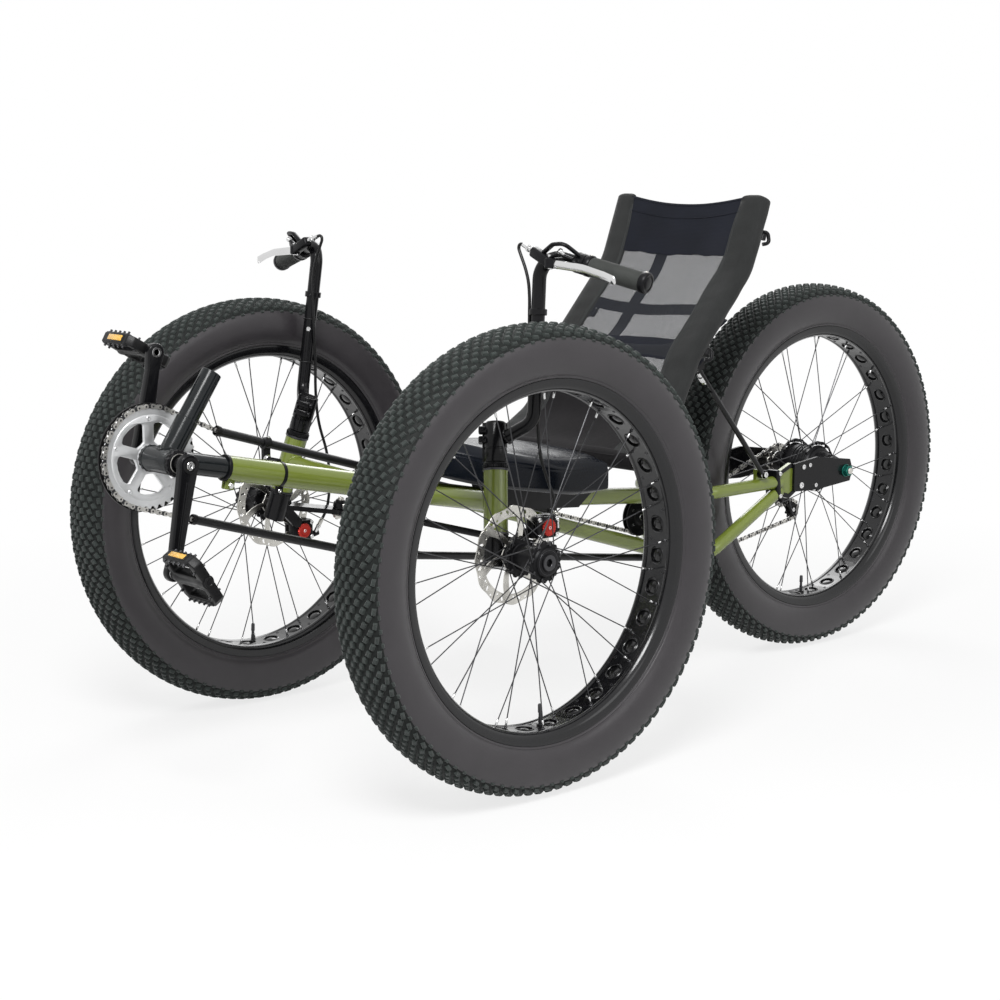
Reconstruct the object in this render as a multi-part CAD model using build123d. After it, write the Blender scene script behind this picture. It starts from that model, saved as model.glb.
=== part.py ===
from build123d import *
import math
import os

# Recumbent tadpole trike on three fat tyres, one STEP file for each sub-part.
# Millimetres. +X is the trike's left, -Y is forward and +Z is up. While it is modelled, y and z
# are 0 at the front axles; save() moves everything to the origin at the bottom centre of the
# whole trike, on the floor.

os.makedirs("parts", exist_ok=True)

# ---------------------------------------------------------------- driving sizes (mm)
GAP = 0.3                      # running gap between pieces that move or seat on each other

# wheels
TYRE_R = 372.0                 # over the knobs
TYRE_HALF_W = 51.0
RIM_R = 287.0                  # outer edge of the rim's flanges
RIM_HALF_W = 39.0
RIM_WALL = 2.6
RIM_DEPTH = 19.0               # flange edge down to the rim's inner face
RIM_HOLE_R = 13.0
SPOKE_COUNT = 32
SPOKE_R = 1.1
SPOKE_RIM_S = 16.0             # how far the spokes end from the rim's middle
SPOKE_SPLIT = 1.4              # crossing spokes pass this far each side of their flange
WHEELBASE = 1097.0
HALF_TRACK = 386.0

# front hubs, places along the axle counted outwards from the wheel's middle
AXLE_R = 10.0
HUB_R = 17.0
HUB_FLANGE_R = 34.0
HUB_FLANGE_T = 6.0
HUB_OUT_S = 17.0
HUB_IN_S = -38.0
HUB_CAP_R = 14.0
ROTOR_S = -56.0
ROTOR_R = 80.0
ROTOR_T = 2.0
ROTOR_BAND = 15.0

# rear hub, an internal gear hub
REAR_AXLE_R = 6.0
REAR_FLANGE_R = 52.0
REAR_FLANGE_S = 29.0
REAR_FLANGE_T = 6.0
REAR_SHELL_R = 44.0
DROPOUT_X = 95.0               # middle of each dropout plate
DROPOUT_T = 6.0
REAR_WASHER_X = 81.0

# steering
STEER_X = HALF_TRACK - 84.0    # kingpin axis at the height of the front axles
STEER_Y = -12.0
STEER_LEAN_IN = 0.2326         # the axis moves inwards by this for each mm up
STEER_LEAN_BACK = 0.2016
HEAD_TOP_Z = 128.0
HEAD_BOTTOM_Z = 30.0
HEAD_R = 19.5
STEERER_R = 14.3
STEM_TOP_Z = 194.0
STEM_R = 18.5
ARM_END = (STEER_X - 32.0, 105.0, -7.0)  # tie rod joint on the left knuckle
TIE_PIN_WAY = (-0.228, 0.111, 1.0)       # direction of the left joint's bolt
TIE_ROD_R = 5.5
TIE_SHANK = 40.0                       # threaded part of each rod end, from its bolt
TIE_SHANK_R = 3.8
TIE_PIN_R = 3.0
TIE_DRIFT = 6.6                        # the right joint's hole is this much larger
TIE_LIFT = 2.4                         # and its washer sits this much lower
TIE_EYE_R = 12.0
TIE_EYE_T = 12.0
STEER_EYE_R = 13.5
ARM_PLATE_T = 9.0
# brake calipers straddle the rotors; y, z of each one's middle
LEFT_CALIPER = (66.0, 38.0)
RIGHT_CALIPER = (52.0, -54.0)
CALIPER_IN = 18.0              # rotor's face to the caliper's inboard face
CALIPER_OUT = 8.5
CALIPER_HALF = (24.0, 20.0)    # half its size along y and z
BRACKET_T = 6.0
BRACKET_HALF_W = 10.0
KNOB_R = 14.5
KNOB_H = 5.0
BAR_R = 11.1
GRIP_R = 15.5
GRIP_LENGTH = 110.0
BAR_ELBOW = (STEER_X + 12.0, 58.0, 206.0)
BAR_TOP = (STEER_X - 5.0, 87.0, 474.0)
BAR_END = (STEER_X + 184.0, 137.0, 429.0)
# brake levers: places from the top of the bar's post, as x, y, z
LEVER_BARREL = (-22.0, -17.2, 10.2)    # where the cable enters
LEVER_BODY = (6.0, -20.0, 1.0)
LEVER_PIVOT = (45.0, -20.0, -16.0)
LEVER_BLADE = [(119.0, -17.0, -23.0), (153.0, -13.0, -31.0), (178.0, -11.0, -39.0)]
LEVER_ARCH = [(38.0, -20.0, -10.0), (50.0, -19.0, 12.0), (72.0, -16.0, 14.0), (79.0, 10.0, -3.0)]
LEVER_RING = (0.345, 0.435)            # shares of the way along the bar's top part
LEVER_RING_R = 16.5
LEVER_BODY_R = 8.5
LEVER_ARCH_R = 3.5
LEVER_BLADE_R = 4.5
# brake cables, from the lever's barrel down the post to the caliper
CABLE_R = 2.6
BARREL_R = 4.0                 # of the stops that the cable ends in
CABLE_IN = 13.0                # from the rotor's middle to the cable at the caliper
CABLE_STOP = (39.0, 5.0)       # y, z of the cable's end from the caliper's middle
CABLE_TOP = [LEVER_BARREL, (-26.5, -16.75, 11.68), (-32.0, -16.7, 9.5), (-33.0, -16.7, 3.5),
             (-27.5, -16.9, -6.5), (-16.0, -17.2, -27.0), (-8.0, -17.8, -48.0),
             (-4.5, -18.8, -74.0), (-5.0, -19.2, -112.0)]
# then down the post, as x from the kingpin's foot, y and z
CABLE_POST = [(-9.7, 69.0, 322.0), (-3.5, 76.5, 260.0), (-0.5, 77.0, 205.0), (0.0, 82.0, 148.0)]
LEFT_CABLE_DOWN = [(0.5, 98.0, 108.0), (6.0, 109.0, 74.0)]
RIGHT_CABLE_DOWN = [(1.0, 104.0, 84.0), (1.5, 109.0, 28.0), (7.0, 105.0, -20.0)]

# boom, spine and cross members
BOOM_R = 20.5
BOOM_WALL = 2.5
BOOM_SLOPE = -0.205
BOOM_FRONT = (-321.0, 135.0)           # y, z of the open end
BOOM_BACK_Y = 215.0
SPINE_R = 15.5
YOKE_Y = WHEELBASE - TYRE_R - 53.0     # the yoke passes this far ahead of the rear tyre
SPINE_BACK = (YOKE_Y, -17.0)           # y, z
LOWER_SPINE_R = 14.0
LOWER_SPINE_FRONT_Y = 175.0
LOWER_SPINE_BACK = (YOKE_Y, -126.0)
STAY_R = 12.5
STAY_BEND_Y = YOKE_Y + 34.0            # where the stays have spread to the dropouts' line
UPPER_STAY_Z = (-6.0, -4.0)            # at that bend and at the stay's back end
LOWER_STAY_Z = (-124.0, -22.0)
STAY_BACK_Y = WHEELBASE - 192.0
# y, z of the stays' end plate and of the dropout bolted to it, from the rear axle
END_PLATE = [(-204, 13), (-194, -32), (-167, -40), (-135, -22), (-131, 20), (-162, 30)]
DROPOUT = [(-157, 28), (-87, 36), (14, 22), (22, 0), (14, -22), (-87, -30), (-157, -27)]
END_PLATE_T = 8.0
CROSS_R = 16.0
CROSS_Y = 14.0
SLIDER_R = 17.6
SLIDER_IN = 110.0                      # how far the slider reaches into the boom

# cranks
BB_Y = -432.0
BB_Z = 157.0
BB_R = 20.5
BB_HALF = 36.0
POST_R = 16.5
POST_BASE = (BB_Y + 12.0, BB_Z + 12.0)  # y, z
POST_TOP = (BB_Y + 92.0, BB_Z + 131.0)
POST_LENGTH = 84.0             # the part above the root that takes a clamp
POST_ROOT_R = 17.8
SPINDLE_R = 8.0
CRANK_LENGTH = 165.0
CRANK_ANGLE = 101.0                    # left arm, degrees from rearwards, turning down
ARM_INNER_X = 62.0
ARM_T = 14.0
ARM_W = 24.0
RING_X = -43.0
CHAIN_PITCH_R = 81.0
RING_T = 3.0
GUARD_R = 85.5
PEDAL_LENGTH = 96.0
PEDAL_WIDTH = 88.0
PEDAL_T = 20.0
PEDAL_TILT = -57.0                     # the left pedal hangs down to the rear
RIGHT_PEDAL_TILT = -30.0
PEDAL_PIN_R = 5.0

# chain line, idler, rear sprocket and tensioner; centres are y, z
CHAIN_W = 7.0
CHAIN_H = 8.0
CHAIN_GAP = 0.8                # between the chain and the wheels that it drives
CHAIN_BACK_X = -75.0
CHAIN_TUBE_R = 7.2
CHAIN_TUBE_BORE = 5.8
CLIP_Y = -208.0                # clip that holds the upper chain tube on the boom
CLIP_DROP = 26.0               # from the tube's middle down to the clip's bolt
CLIP_HALF_W = 7.0
IDLER = (YOKE_Y + 6.0, -68.0)
IDLER_R = 33.0
IDLER_X = -66.0
SPROCKET_R = 34.0
GUIDE = (WHEELBASE + 15.0, -76.0)
TENSION = (WHEELBASE + 46.0, -108.0)
PULLEY_R = 20.0

# seat
SEAT_HALF_W = 190.0
SEAT_TUBE_R = 11.0
SLING_T = 5.0
# y, z of the back's side line, from its lower front edge to its top, and each bend's radius
SLING_LINE = [(404, 102), (492, 156), (555, 276), (690, 428), (735, 550)]
SLING_BENDS = [60, 150, 130]
SEAT_TUBE_SHIFT = (12.6, -8.8)         # the side tubes lie this far behind the fabric
SEAT_BAR = (566.0, 268.0)              # y, z of the bar that the struts hold
STRUT_FOOT = (DROPOUT_X + 13.0, WHEELBASE - 254.0, 18.0)
STRUT_HEAD = (165.0, 590.0, 250.0)
STRUT_R = 5.0
CUSHION_HALF_W = 188.0
# y, z of the cushion's underside, from front to back
CUSHION_UNDER = [(-20, 113), (49, 95), (114, 78), (275, 52), (352, 49)]
CUSHION_T = 58.0
CUSHION_REST_Y = (24.0, 58.0)          # the boom's pad under the cushion
SEAT_BOX_HALF_W = 45.0
SEAT_BOX_Y = (228.0, 452.0)
SEAT_BOX_BOTTOM_Z = -6.0

FRONT_Y = BB_Y - GUARD_R
BACK_Y = WHEELBASE + TYRE_R
ORIGIN_Y = (FRONT_Y + BACK_Y) / 2


# ---------------------------------------------------------------- helpers
def save(node, shape):
    """Write one sub-part, moved to the part's own origin."""
    export_step(Pos(0, -ORIGIN_Y, TYRE_R) * shape, f"parts/{node}.step")


def rod(start, end, radius):
    """A round bar from one point to another."""
    start, end = Vector(*start), Vector(*end)
    way = end - start
    return Part(Solid.make_cylinder(radius, way.length, Plane(start, z_dir=way)).wrapped)


def tube(start, end, radius, bore):
    """A round tube, open at both ends."""
    return rod(start, end, radius) - rod(start, end, bore)


def bent(points, bend, radius):
    """A round bar along straight runs joined by arcs."""
    path = FilletPolyline(*points, radius=bend)
    section = Plane(path @ 0, z_dir=path % 0) * Circle(radius)
    return sweep(section, path)


def disc(x_low, x_high, radius, y, z, bore=0.0):
    """A disc or ring whose axis runs along X."""
    solid = rod((x_low, y, z), (x_high, y, z), radius)
    return solid - rod((x_low - 1, y, z), (x_high + 1, y, z), bore) if bore else solid


def block(x, y, z):
    """A box from three (low, high) pairs."""
    size = [high - low for low, high in (x, y, z)]
    middle = [(high + low) / 2 for low, high in (x, y, z)]
    return Pos(*middle) * Box(*size)


def plate(outline, x_low, x_high):
    """A flat plate: a (y, z) outline made solid between two x."""
    face = Plane.YZ * make_face(Polyline(*outline, close=True))
    return Pos(x_low, 0, 0) * extrude(face, x_high - x_low)


def strap(start, end, half_w, x_low, x_high):
    """A flat bar with round ends between two (y, z) points."""
    way = (Vector(*end) - Vector(*start)).normalized() * half_w
    across = Vector(-way.Y, way.X)
    corners = [Vector(*start) + across, Vector(*end) + across,
               Vector(*end) - across, Vector(*start) - across]
    flat = plate([(c.X, c.Y) for c in corners], x_low, x_high)
    return flat + disc(x_low, x_high, half_w, *start) + disc(x_low, x_high, half_w, *end)


def other_side(shape):
    """The same piece on the trike's right."""
    return mirror(shape, about=Plane.YZ)


def between(a, b, share):
    return tuple(p + (q - p) * share for p, q in zip(a, b))


def boom_z(y):
    return BOOM_FRONT[1] + BOOM_SLOPE * (y - BOOM_FRONT[0])


def cushion_under(y):
    """Height of the cushion's underside at y."""
    for (y0, z0), (y1, z1) in zip(CUSHION_UNDER, CUSHION_UNDER[1:]):
        if y <= y1:
            return z0 + (z1 - z0) * (y - y0) / (y1 - y0)
    return CUSHION_UNDER[-1][1]


def kingpin(z):
    """A point on the left kingpin axis at height z."""
    return (STEER_X - STEER_LEAN_IN * z, STEER_Y + STEER_LEAN_BACK * z, z)


# ---------------------------------------------------------------- wheels
def tyre():
    """Fat tyre: bead, bulging sidewall, rounded tread, mirrored about its middle."""
    bed = RIM_R - RIM_DEPTH + RIM_WALL + GAP
    inner = RIM_HALF_W - RIM_WALL - GAP
    bulge_r = (RIM_R + TYRE_R) / 2
    half = [(inner, bed), (inner, RIM_R), (TYRE_HALF_W, bulge_r), (TYRE_HALF_W - 8, TYRE_R - 16),
            (TYRE_HALF_W - 26, TYRE_R - 4), (0, TYRE_R)]
    side = Line(half[0], half[1])
    wall = ThreePointArc(half[1], (TYRE_HALF_W - 3, RIM_R + 18), half[2])
    shoulder = ThreePointArc(half[2], half[3], half[4])
    crown = Line(half[4], half[5])
    right = side + wall + shoulder + crown
    outline = right + mirror(right, about=Plane.YZ) + Line(half[0], (-inner, bed))
    return revolve(make_face(outline.edges()), axis=Axis.X)


def rim():
    """Wide single-wall rim with a ring of round cut-outs."""
    low, high = RIM_R - RIM_DEPTH, RIM_R
    w, t = RIM_HALF_W, RIM_WALL
    outline = [(-w, low), (w, low), (w, high), (w - t, high), (w - t, low + t),
               (-w + t, low + t), (-w + t, high), (-w, high)]
    hoop = revolve(make_face(Polyline(*outline, close=True)), axis=Axis.X)
    hole = Pos(0, 0, (low + high) / 2) * Cylinder(RIM_HOLE_R, high - low + 4)
    step = 360 / SPOKE_COUNT
    holes = [Rot((k + 0.5) * step, 0, 0) * hole for k in range(SPOKE_COUNT)]
    return hoop - holes


def spokes(flanges, lean):
    """Crossed spokes, in two sets; flanges are (place along the axle, radius) pairs."""
    rim_r = RIM_R - RIM_DEPTH - GAP
    step = 360 / SPOKE_COUNT
    wires = []
    for k in range(SPOKE_COUNT):
        s, flange_r = flanges[k % 2]
        way = 1 if (k // 2) % 2 else -1
        out = math.copysign(1, s - sum(f[0] for f in flanges) / 2)
        rim_a = math.radians(k * step)
        hub_a = rim_a + way * math.radians(lean)
        hub_r = flange_r + GAP + SPOKE_R
        start = (s + way * SPOKE_SPLIT, hub_r * math.cos(hub_a), hub_r * math.sin(hub_a))
        end_s = out * SPOKE_RIM_S + way * SPOKE_SPLIT
        end = (end_s, rim_r * math.cos(rim_a), rim_r * math.sin(rim_a))
        wires.append(rod(start, end, SPOKE_R))
    return Compound(children=wires)


def front_hub(bore):
    """Hub shell with two spoke flanges and an outer cap; + s is outboard."""
    half_t = HUB_FLANGE_T / 2
    shell = disc(ROTOR_S + ROTOR_T / 2, HUB_OUT_S + 10, HUB_R, 0, 0)
    for s in (HUB_OUT_S, HUB_IN_S):
        shell += disc(s - half_t, s + half_t, HUB_FLANGE_R, 0, 0)
    shell += disc(HUB_OUT_S + 10, HUB_OUT_S + 13, HUB_CAP_R, 0, 0)
    return shell - rod((ROTOR_S - 5, 0, 0), (HUB_OUT_S + 7, 0, 0), bore)


def rotor(bore):
    """Brake disc: a drilled band on six arms."""
    half_t = ROTOR_T / 2
    band = disc(-half_t, half_t, ROTOR_R, 0, 0, ROTOR_R - ROTOR_BAND)
    centre = disc(-half_t, half_t, HUB_R + 5, 0, 0, bore)
    arm = block((-half_t, half_t), (HUB_R + 3, ROTOR_R - ROTOR_BAND + 2), (-5, 5))
    arms = [Rot(60 * k, 0, 0) * arm for k in range(6)]
    return Pos(ROTOR_S, 0, 0) * (band + centre + arms)


def rear_hub(bore):
    """Gear hub: drum between two big flanges, with the sprocket's seat on the right."""
    half_t = REAR_FLANGE_T / 2
    shell = disc(-REAR_FLANGE_S, REAR_FLANGE_S, REAR_SHELL_R, 0, 0)
    for s in (-REAR_FLANGE_S, REAR_FLANGE_S):
        shell += disc(s - half_t, s + half_t, REAR_FLANGE_R, 0, 0)
    shell += disc(REAR_FLANGE_S, REAR_WASHER_X - GAP, 26, 0, 0)
    shell += disc(CHAIN_BACK_X + 2 + GAP, -REAR_FLANGE_S, 22, 0, 0)
    return shell - rod((-DROPOUT_X, 0, 0), (DROPOUT_X, 0, 0), bore)


def make_wheels():
    front_flanges = [(HUB_OUT_S, HUB_FLANGE_R), (HUB_IN_S, HUB_FLANGE_R)]
    front = {
        "tyre": tyre(), "rim": rim(), "spokes": spokes(front_flanges, 60.0),
        "hub": front_hub(AXLE_R + GAP), "rotor": rotor(AXLE_R + GAP + 1),
    }
    rear_flanges = [(REAR_FLANGE_S, REAR_FLANGE_R), (-REAR_FLANGE_S, REAR_FLANGE_R)]
    rear = {
        "tyre": front["tyre"], "rim": front["rim"], "spokes": spokes(rear_flanges, 40.0),
        "hub": rear_hub(REAR_AXLE_R + GAP),
        "sprocket": disc(CHAIN_BACK_X - 2, CHAIN_BACK_X + 2, SPROCKET_R - CHAIN_H / 2 - CHAIN_GAP,
                         0, 0, REAR_AXLE_R + GAP),
    }
    for name, shape in front.items():
        save(f"front_left_{name}", Pos(HALF_TRACK, 0, 0) * shape)
        save(f"front_right_{name}", Pos(-HALF_TRACK, 0, 0) * Rot(0, 0, 180) * shape)
    for name, shape in rear.items():
        save(f"rear_{name}", Pos(0, WHEELBASE, 0) * shape)


# ---------------------------------------------------------------- knuckles and controls
def tie_pin(up):
    """A point on the left tie rod joint's bolt, up from the rod's own height."""
    way = Vector(*TIE_PIN_WAY).normalized()
    return tuple(Vector(*ARM_END) + way * up)


def knuckle(pin_bore, caliper_at):
    """Steerer through the head tube, stub axle, steering arm and caliper bracket."""
    low, high = kingpin(HEAD_BOTTOM_Z - 52), kingpin(HEAD_BOTTOM_Z - GAP)
    body = rod(low, high, HEAD_R)
    body += rod(kingpin(HEAD_BOTTOM_Z - 5), kingpin(HEAD_TOP_Z + 12), STEERER_R)
    axle_end = HALF_TRACK + HUB_OUT_S + 6
    body += rod((STEER_X, 0, 0), (axle_end, 0, 0), AXLE_R)
    shoulder = HALF_TRACK + ROTOR_S - ROTOR_T / 2 - GAP
    body += rod((STEER_X - 4, 0, 0), (shoulder, 0, 0), AXLE_R + 8)
    eye_top = tie_pin(-TIE_EYE_T / 2 - GAP)
    eye_bottom = tie_pin(-TIE_EYE_T / 2 - GAP - ARM_PLATE_T)
    reach = Vector(*kingpin(ARM_END[2])) - Vector(*eye_bottom)
    arm_plane = Plane(eye_bottom, x_dir=reach, z_dir=TIE_PIN_WAY)
    arm = arm_plane * Pos(reach.length / 2, 0, ARM_PLATE_T / 2) * Box(
        reach.length, 1.7 * STEER_EYE_R, ARM_PLATE_T)
    body += arm + rod(eye_top, eye_bottom, STEER_EYE_R)
    hub = (0.0, 0.0)
    to_caliper = Vector(*caliper_at) - Vector(*hub)
    stop = 1 - (KNOB_R + BRACKET_HALF_W + 1) / to_caliper.length
    face = HALF_TRACK + ROTOR_S - ROTOR_T / 2 - CALIPER_IN - GAP
    body += strap(hub, between(hub, caliper_at, stop), BRACKET_HALF_W, face - BRACKET_T, face)
    return body - rod(tie_pin(20), tie_pin(-40), pin_bore)


def handlebar():
    """Stem clamp on the steerer, and one bent tube up to the grip."""
    clamp = tube(kingpin(HEAD_TOP_Z + GAP), kingpin(STEM_TOP_Z), STEM_R, STEERER_R + GAP)
    cap = rod(kingpin(STEM_TOP_Z), kingpin(STEM_TOP_Z + 4), STEM_R)
    root = between(kingpin(STEM_TOP_Z - 24), BAR_ELBOW, 0.3)
    bar = bent([root, BAR_ELBOW, BAR_TOP, BAR_END], [30, 34], BAR_R)
    return clamp + cap + (bar - rod(kingpin(HEAD_TOP_Z), kingpin(STEM_TOP_Z), STEERER_R + GAP))


def grip():
    length = (Vector(*BAR_END) - Vector(*BAR_TOP)).length
    start = between(BAR_TOP, BAR_END, 1 - GRIP_LENGTH / length)
    beyond = between(BAR_TOP, BAR_END, 1 + GAP / length)
    end = between(BAR_TOP, BAR_END, 1 + 4 / length)
    return rod(start, end, GRIP_R) - rod(start, beyond, BAR_R + GAP)


def on_lever(offset):
    """A place on the brake lever, given from the top of the bar's post."""
    return tuple(p + q for p, q in zip(BAR_TOP, offset))


def brake_lever():
    """Ring on the bar, body ahead of it, guard arch over it and a blade along the grip."""
    first, last = (between(BAR_TOP, BAR_END, share) for share in LEVER_RING)
    pivot = on_lever(LEVER_PIVOT)
    lever = rod(first, last, LEVER_RING_R)
    lever += rod(pivot, between(first, last, 0.4), 7.0)
    lever += rod(on_lever(LEVER_BODY), pivot, LEVER_BODY_R)
    lever += rod(on_lever(LEVER_BARREL), on_lever(LEVER_BODY), BARREL_R)
    lever += bent([on_lever(place) for place in LEVER_ARCH], [10, 12], LEVER_ARCH_R)
    lever += bent([pivot] + [on_lever(place) for place in LEVER_BLADE], [60, 40], LEVER_BLADE_R)
    return lever - rod(BAR_TOP, BAR_END, BAR_R + GAP)


def cable(route):
    """A cable along straight runs, joined by arcs as large as the runs leave room for."""
    points = [Vector(*place) for place in route]
    radii = []
    for before, at, after in zip(points, points[1:], points[2:]):
        turn = math.radians((at - before).get_angle(after - at))
        run = min((at - before).length, (after - at).length)
        radii.append(0.45 * run / math.tan(turn / 2))
    path = FilletPolyline(*points, radius=radii)
    solid = sweep(Plane(path @ 0, z_dir=path % 0) * Circle(CABLE_R), path)
    print("cable radii", [round(r, 1) for r in radii], "length", round(path.length, 1),
          "volume over section times length",
          round(solid.volume / (math.pi * CABLE_R ** 2 * path.length), 4))
    return solid


def cable_route(down, caliper_at):
    """From the lever's barrel down the post, then by way of down to the caliper's stop."""
    y, z = caliper_at
    end = (HALF_TRACK + ROTOR_S - CABLE_IN, y + CABLE_STOP[0], z + CABLE_STOP[1])
    return ([on_lever(place) for place in CABLE_TOP] +
            [(STEER_X + out, back, up) for out, back, up in CABLE_POST + down] + [end])


def tie_end(lift):
    """Eye of the tie rod with its bolt and washer, the washer lift lower than its seat."""
    half_t = TIE_EYE_T / 2
    below = half_t + 2 * GAP + ARM_PLATE_T + lift
    end = rod(tie_pin(-half_t), tie_pin(half_t), TIE_EYE_R)
    end += rod(tie_pin(-below - 6), tie_pin(half_t + 5), TIE_PIN_R)
    end += rod(tie_pin(half_t), tie_pin(half_t + 5), 6.0)
    return end + rod(tie_pin(-below - 6), tie_pin(-below), STEER_EYE_R - 1.5)


def tie_rod():
    """Rod between the steering arms, with an eye at each end."""
    x, y, z = ARM_END
    shank_x = x - TIE_SHANK
    bar = rod((-shank_x, y, z), (shank_x, y, z), TIE_ROD_R)
    bar += rod((-x + 4, y, z), (x - 4, y, z), TIE_SHANK_R)
    return bar + tie_end(0) + other_side(tie_end(TIE_LIFT))


def caliper(y, z, knob_side, route):
    """Disc brake caliper that straddles the rotor, with its adjuster and its cable's stop."""
    x = HALF_TRACK + ROTOR_S
    outboard, inboard = ROTOR_T / 2 + CALIPER_OUT, ROTOR_T / 2 + CALIPER_IN
    half_y, half_z = CALIPER_HALF
    shell = block((x - inboard, x + outboard), (y - half_y, y + half_y), (z - half_z, z + half_z))
    slot = disc(x - ROTOR_T / 2 - 1.5, x + ROTOR_T / 2 + 1.5, ROTOR_R + 4, 0, 0)
    face = x + outboard if knob_side > 0 else x - inboard
    low, high = sorted((face, face + knob_side * KNOB_H))
    end = Vector(*route[-1])
    way = (end - Vector(*route[-2])).normalized()
    stop = rod(end, end + way * 14, BARREL_R)
    arm = block((end.X - 5, x - ROTOR_T / 2 - 3), (y + half_y - 4, end.Y + 2), (z - 18, z - 6))
    return shell - slot + disc(low, high, KNOB_R, y, z) + stop + arm


def make_knuckles():
    save("left_knuckle", knuckle(TIE_PIN_R + GAP, LEFT_CALIPER))
    save("right_knuckle", other_side(knuckle(TIE_PIN_R + TIE_DRIFT, RIGHT_CALIPER)))
    pieces = {"handlebar": handlebar(), "grip": grip(), "brake_lever": brake_lever()}
    for name, shape in pieces.items():
        save(f"left_{name}", shape)
        save(f"right_{name}", other_side(shape))
    route = cable_route(LEFT_CABLE_DOWN, LEFT_CALIPER)
    save("left_caliper", caliper(*LEFT_CALIPER, 1, route))
    save("left_cable", cable(route))
    route = cable_route(RIGHT_CABLE_DOWN, RIGHT_CALIPER)
    save("right_caliper", other_side(caliper(*RIGHT_CALIPER, -1, route)))
    save("right_cable", other_side(cable(route)))
    save("tie_rod", tie_rod())


# ---------------------------------------------------------------- frame
def make_frame():
    """Boom, spines and cross members; returns the spines, which the stays are fitted to."""
    y0, z0 = BOOM_FRONT
    back_z = boom_z(BOOM_BACK_Y)
    front_boom = rod((0, y0, z0), (0, BOOM_BACK_Y, back_z), BOOM_R)
    inside_y = y0 + SLIDER_IN
    front_boom -= rod((0, y0 - 1, boom_z(y0 - 1)), (0, inside_y, boom_z(inside_y)),
                      BOOM_R - BOOM_WALL)
    low, high = CUSHION_REST_Y
    rest = [(low, boom_z(low)), (low, cushion_under(low) - GAP),
            (high, cushion_under(high) - GAP), (high, boom_z(high))]
    front_boom += plate(rest, -24, 24)
    save("front_boom", front_boom)

    spine = rod((0, BOOM_BACK_Y - 6, back_z), (0, *SPINE_BACK), SPINE_R)
    save("rear_spine", spine - front_boom)
    lower_front = (0, LOWER_SPINE_FRONT_Y, boom_z(LOWER_SPINE_FRONT_Y) - 6)
    lower = rod(lower_front, (0, *LOWER_SPINE_BACK), LOWER_SPINE_R)
    gusset = plate([(YOKE_Y - 32, LOWER_SPINE_BACK[1] + 4), LOWER_SPINE_BACK, SPINE_BACK,
                    (YOKE_Y - 20, SPINE_BACK[1] + 1)], -4, 4)
    save("lower_spine", (lower + gusset) - front_boom - spine)

    head = tube(kingpin(HEAD_BOTTOM_Z), kingpin(HEAD_TOP_Z), HEAD_R, STEERER_R + GAP)
    head_middle = kingpin((HEAD_BOTTOM_Z + HEAD_TOP_Z) / 2)
    solid_head = rod(kingpin(HEAD_BOTTOM_Z), kingpin(HEAD_TOP_Z), HEAD_R - 1)
    cross = rod((0, CROSS_Y, boom_z(CROSS_Y) - 6), head_middle, CROSS_R)
    cross = cross - front_boom - solid_head
    cross = cross & block((0, HALF_TRACK), (-HALF_TRACK, HALF_TRACK), (-HALF_TRACK, HALF_TRACK))
    save("left_cross_member", head + cross)
    save("right_cross_member", other_side(head + cross))
    return spine + lower + gusset


def make_boom_slider():
    y0 = BOOM_FRONT[0]
    tip = (0, BB_Y + 8, boom_z(BB_Y + 8))
    slider = rod((0, y0 + SLIDER_IN - 4, boom_z(y0 + SLIDER_IN - 4)), tip, SLIDER_R)
    shell = disc(-BB_HALF, BB_HALF, BB_R, BB_Y, BB_Z)
    bore = rod((-BB_HALF - 1, BB_Y, BB_Z), (BB_HALF + 1, BB_Y, BB_Z), SPINDLE_R + GAP)
    length = (Vector(*POST_TOP) - Vector(*POST_BASE)).length
    shoulder = between((0, *POST_TOP), (0, *POST_BASE), POST_LENGTH / length)
    post = rod(shoulder, (0, *POST_TOP), POST_R) + rod((0, *POST_BASE), shoulder, POST_ROOT_R)
    save("boom_slider", slider + shell - bore)
    save("accessory_post", post - rod((-60, BB_Y, BB_Z), (60, BB_Y, BB_Z), BB_R) - slider)


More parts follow.
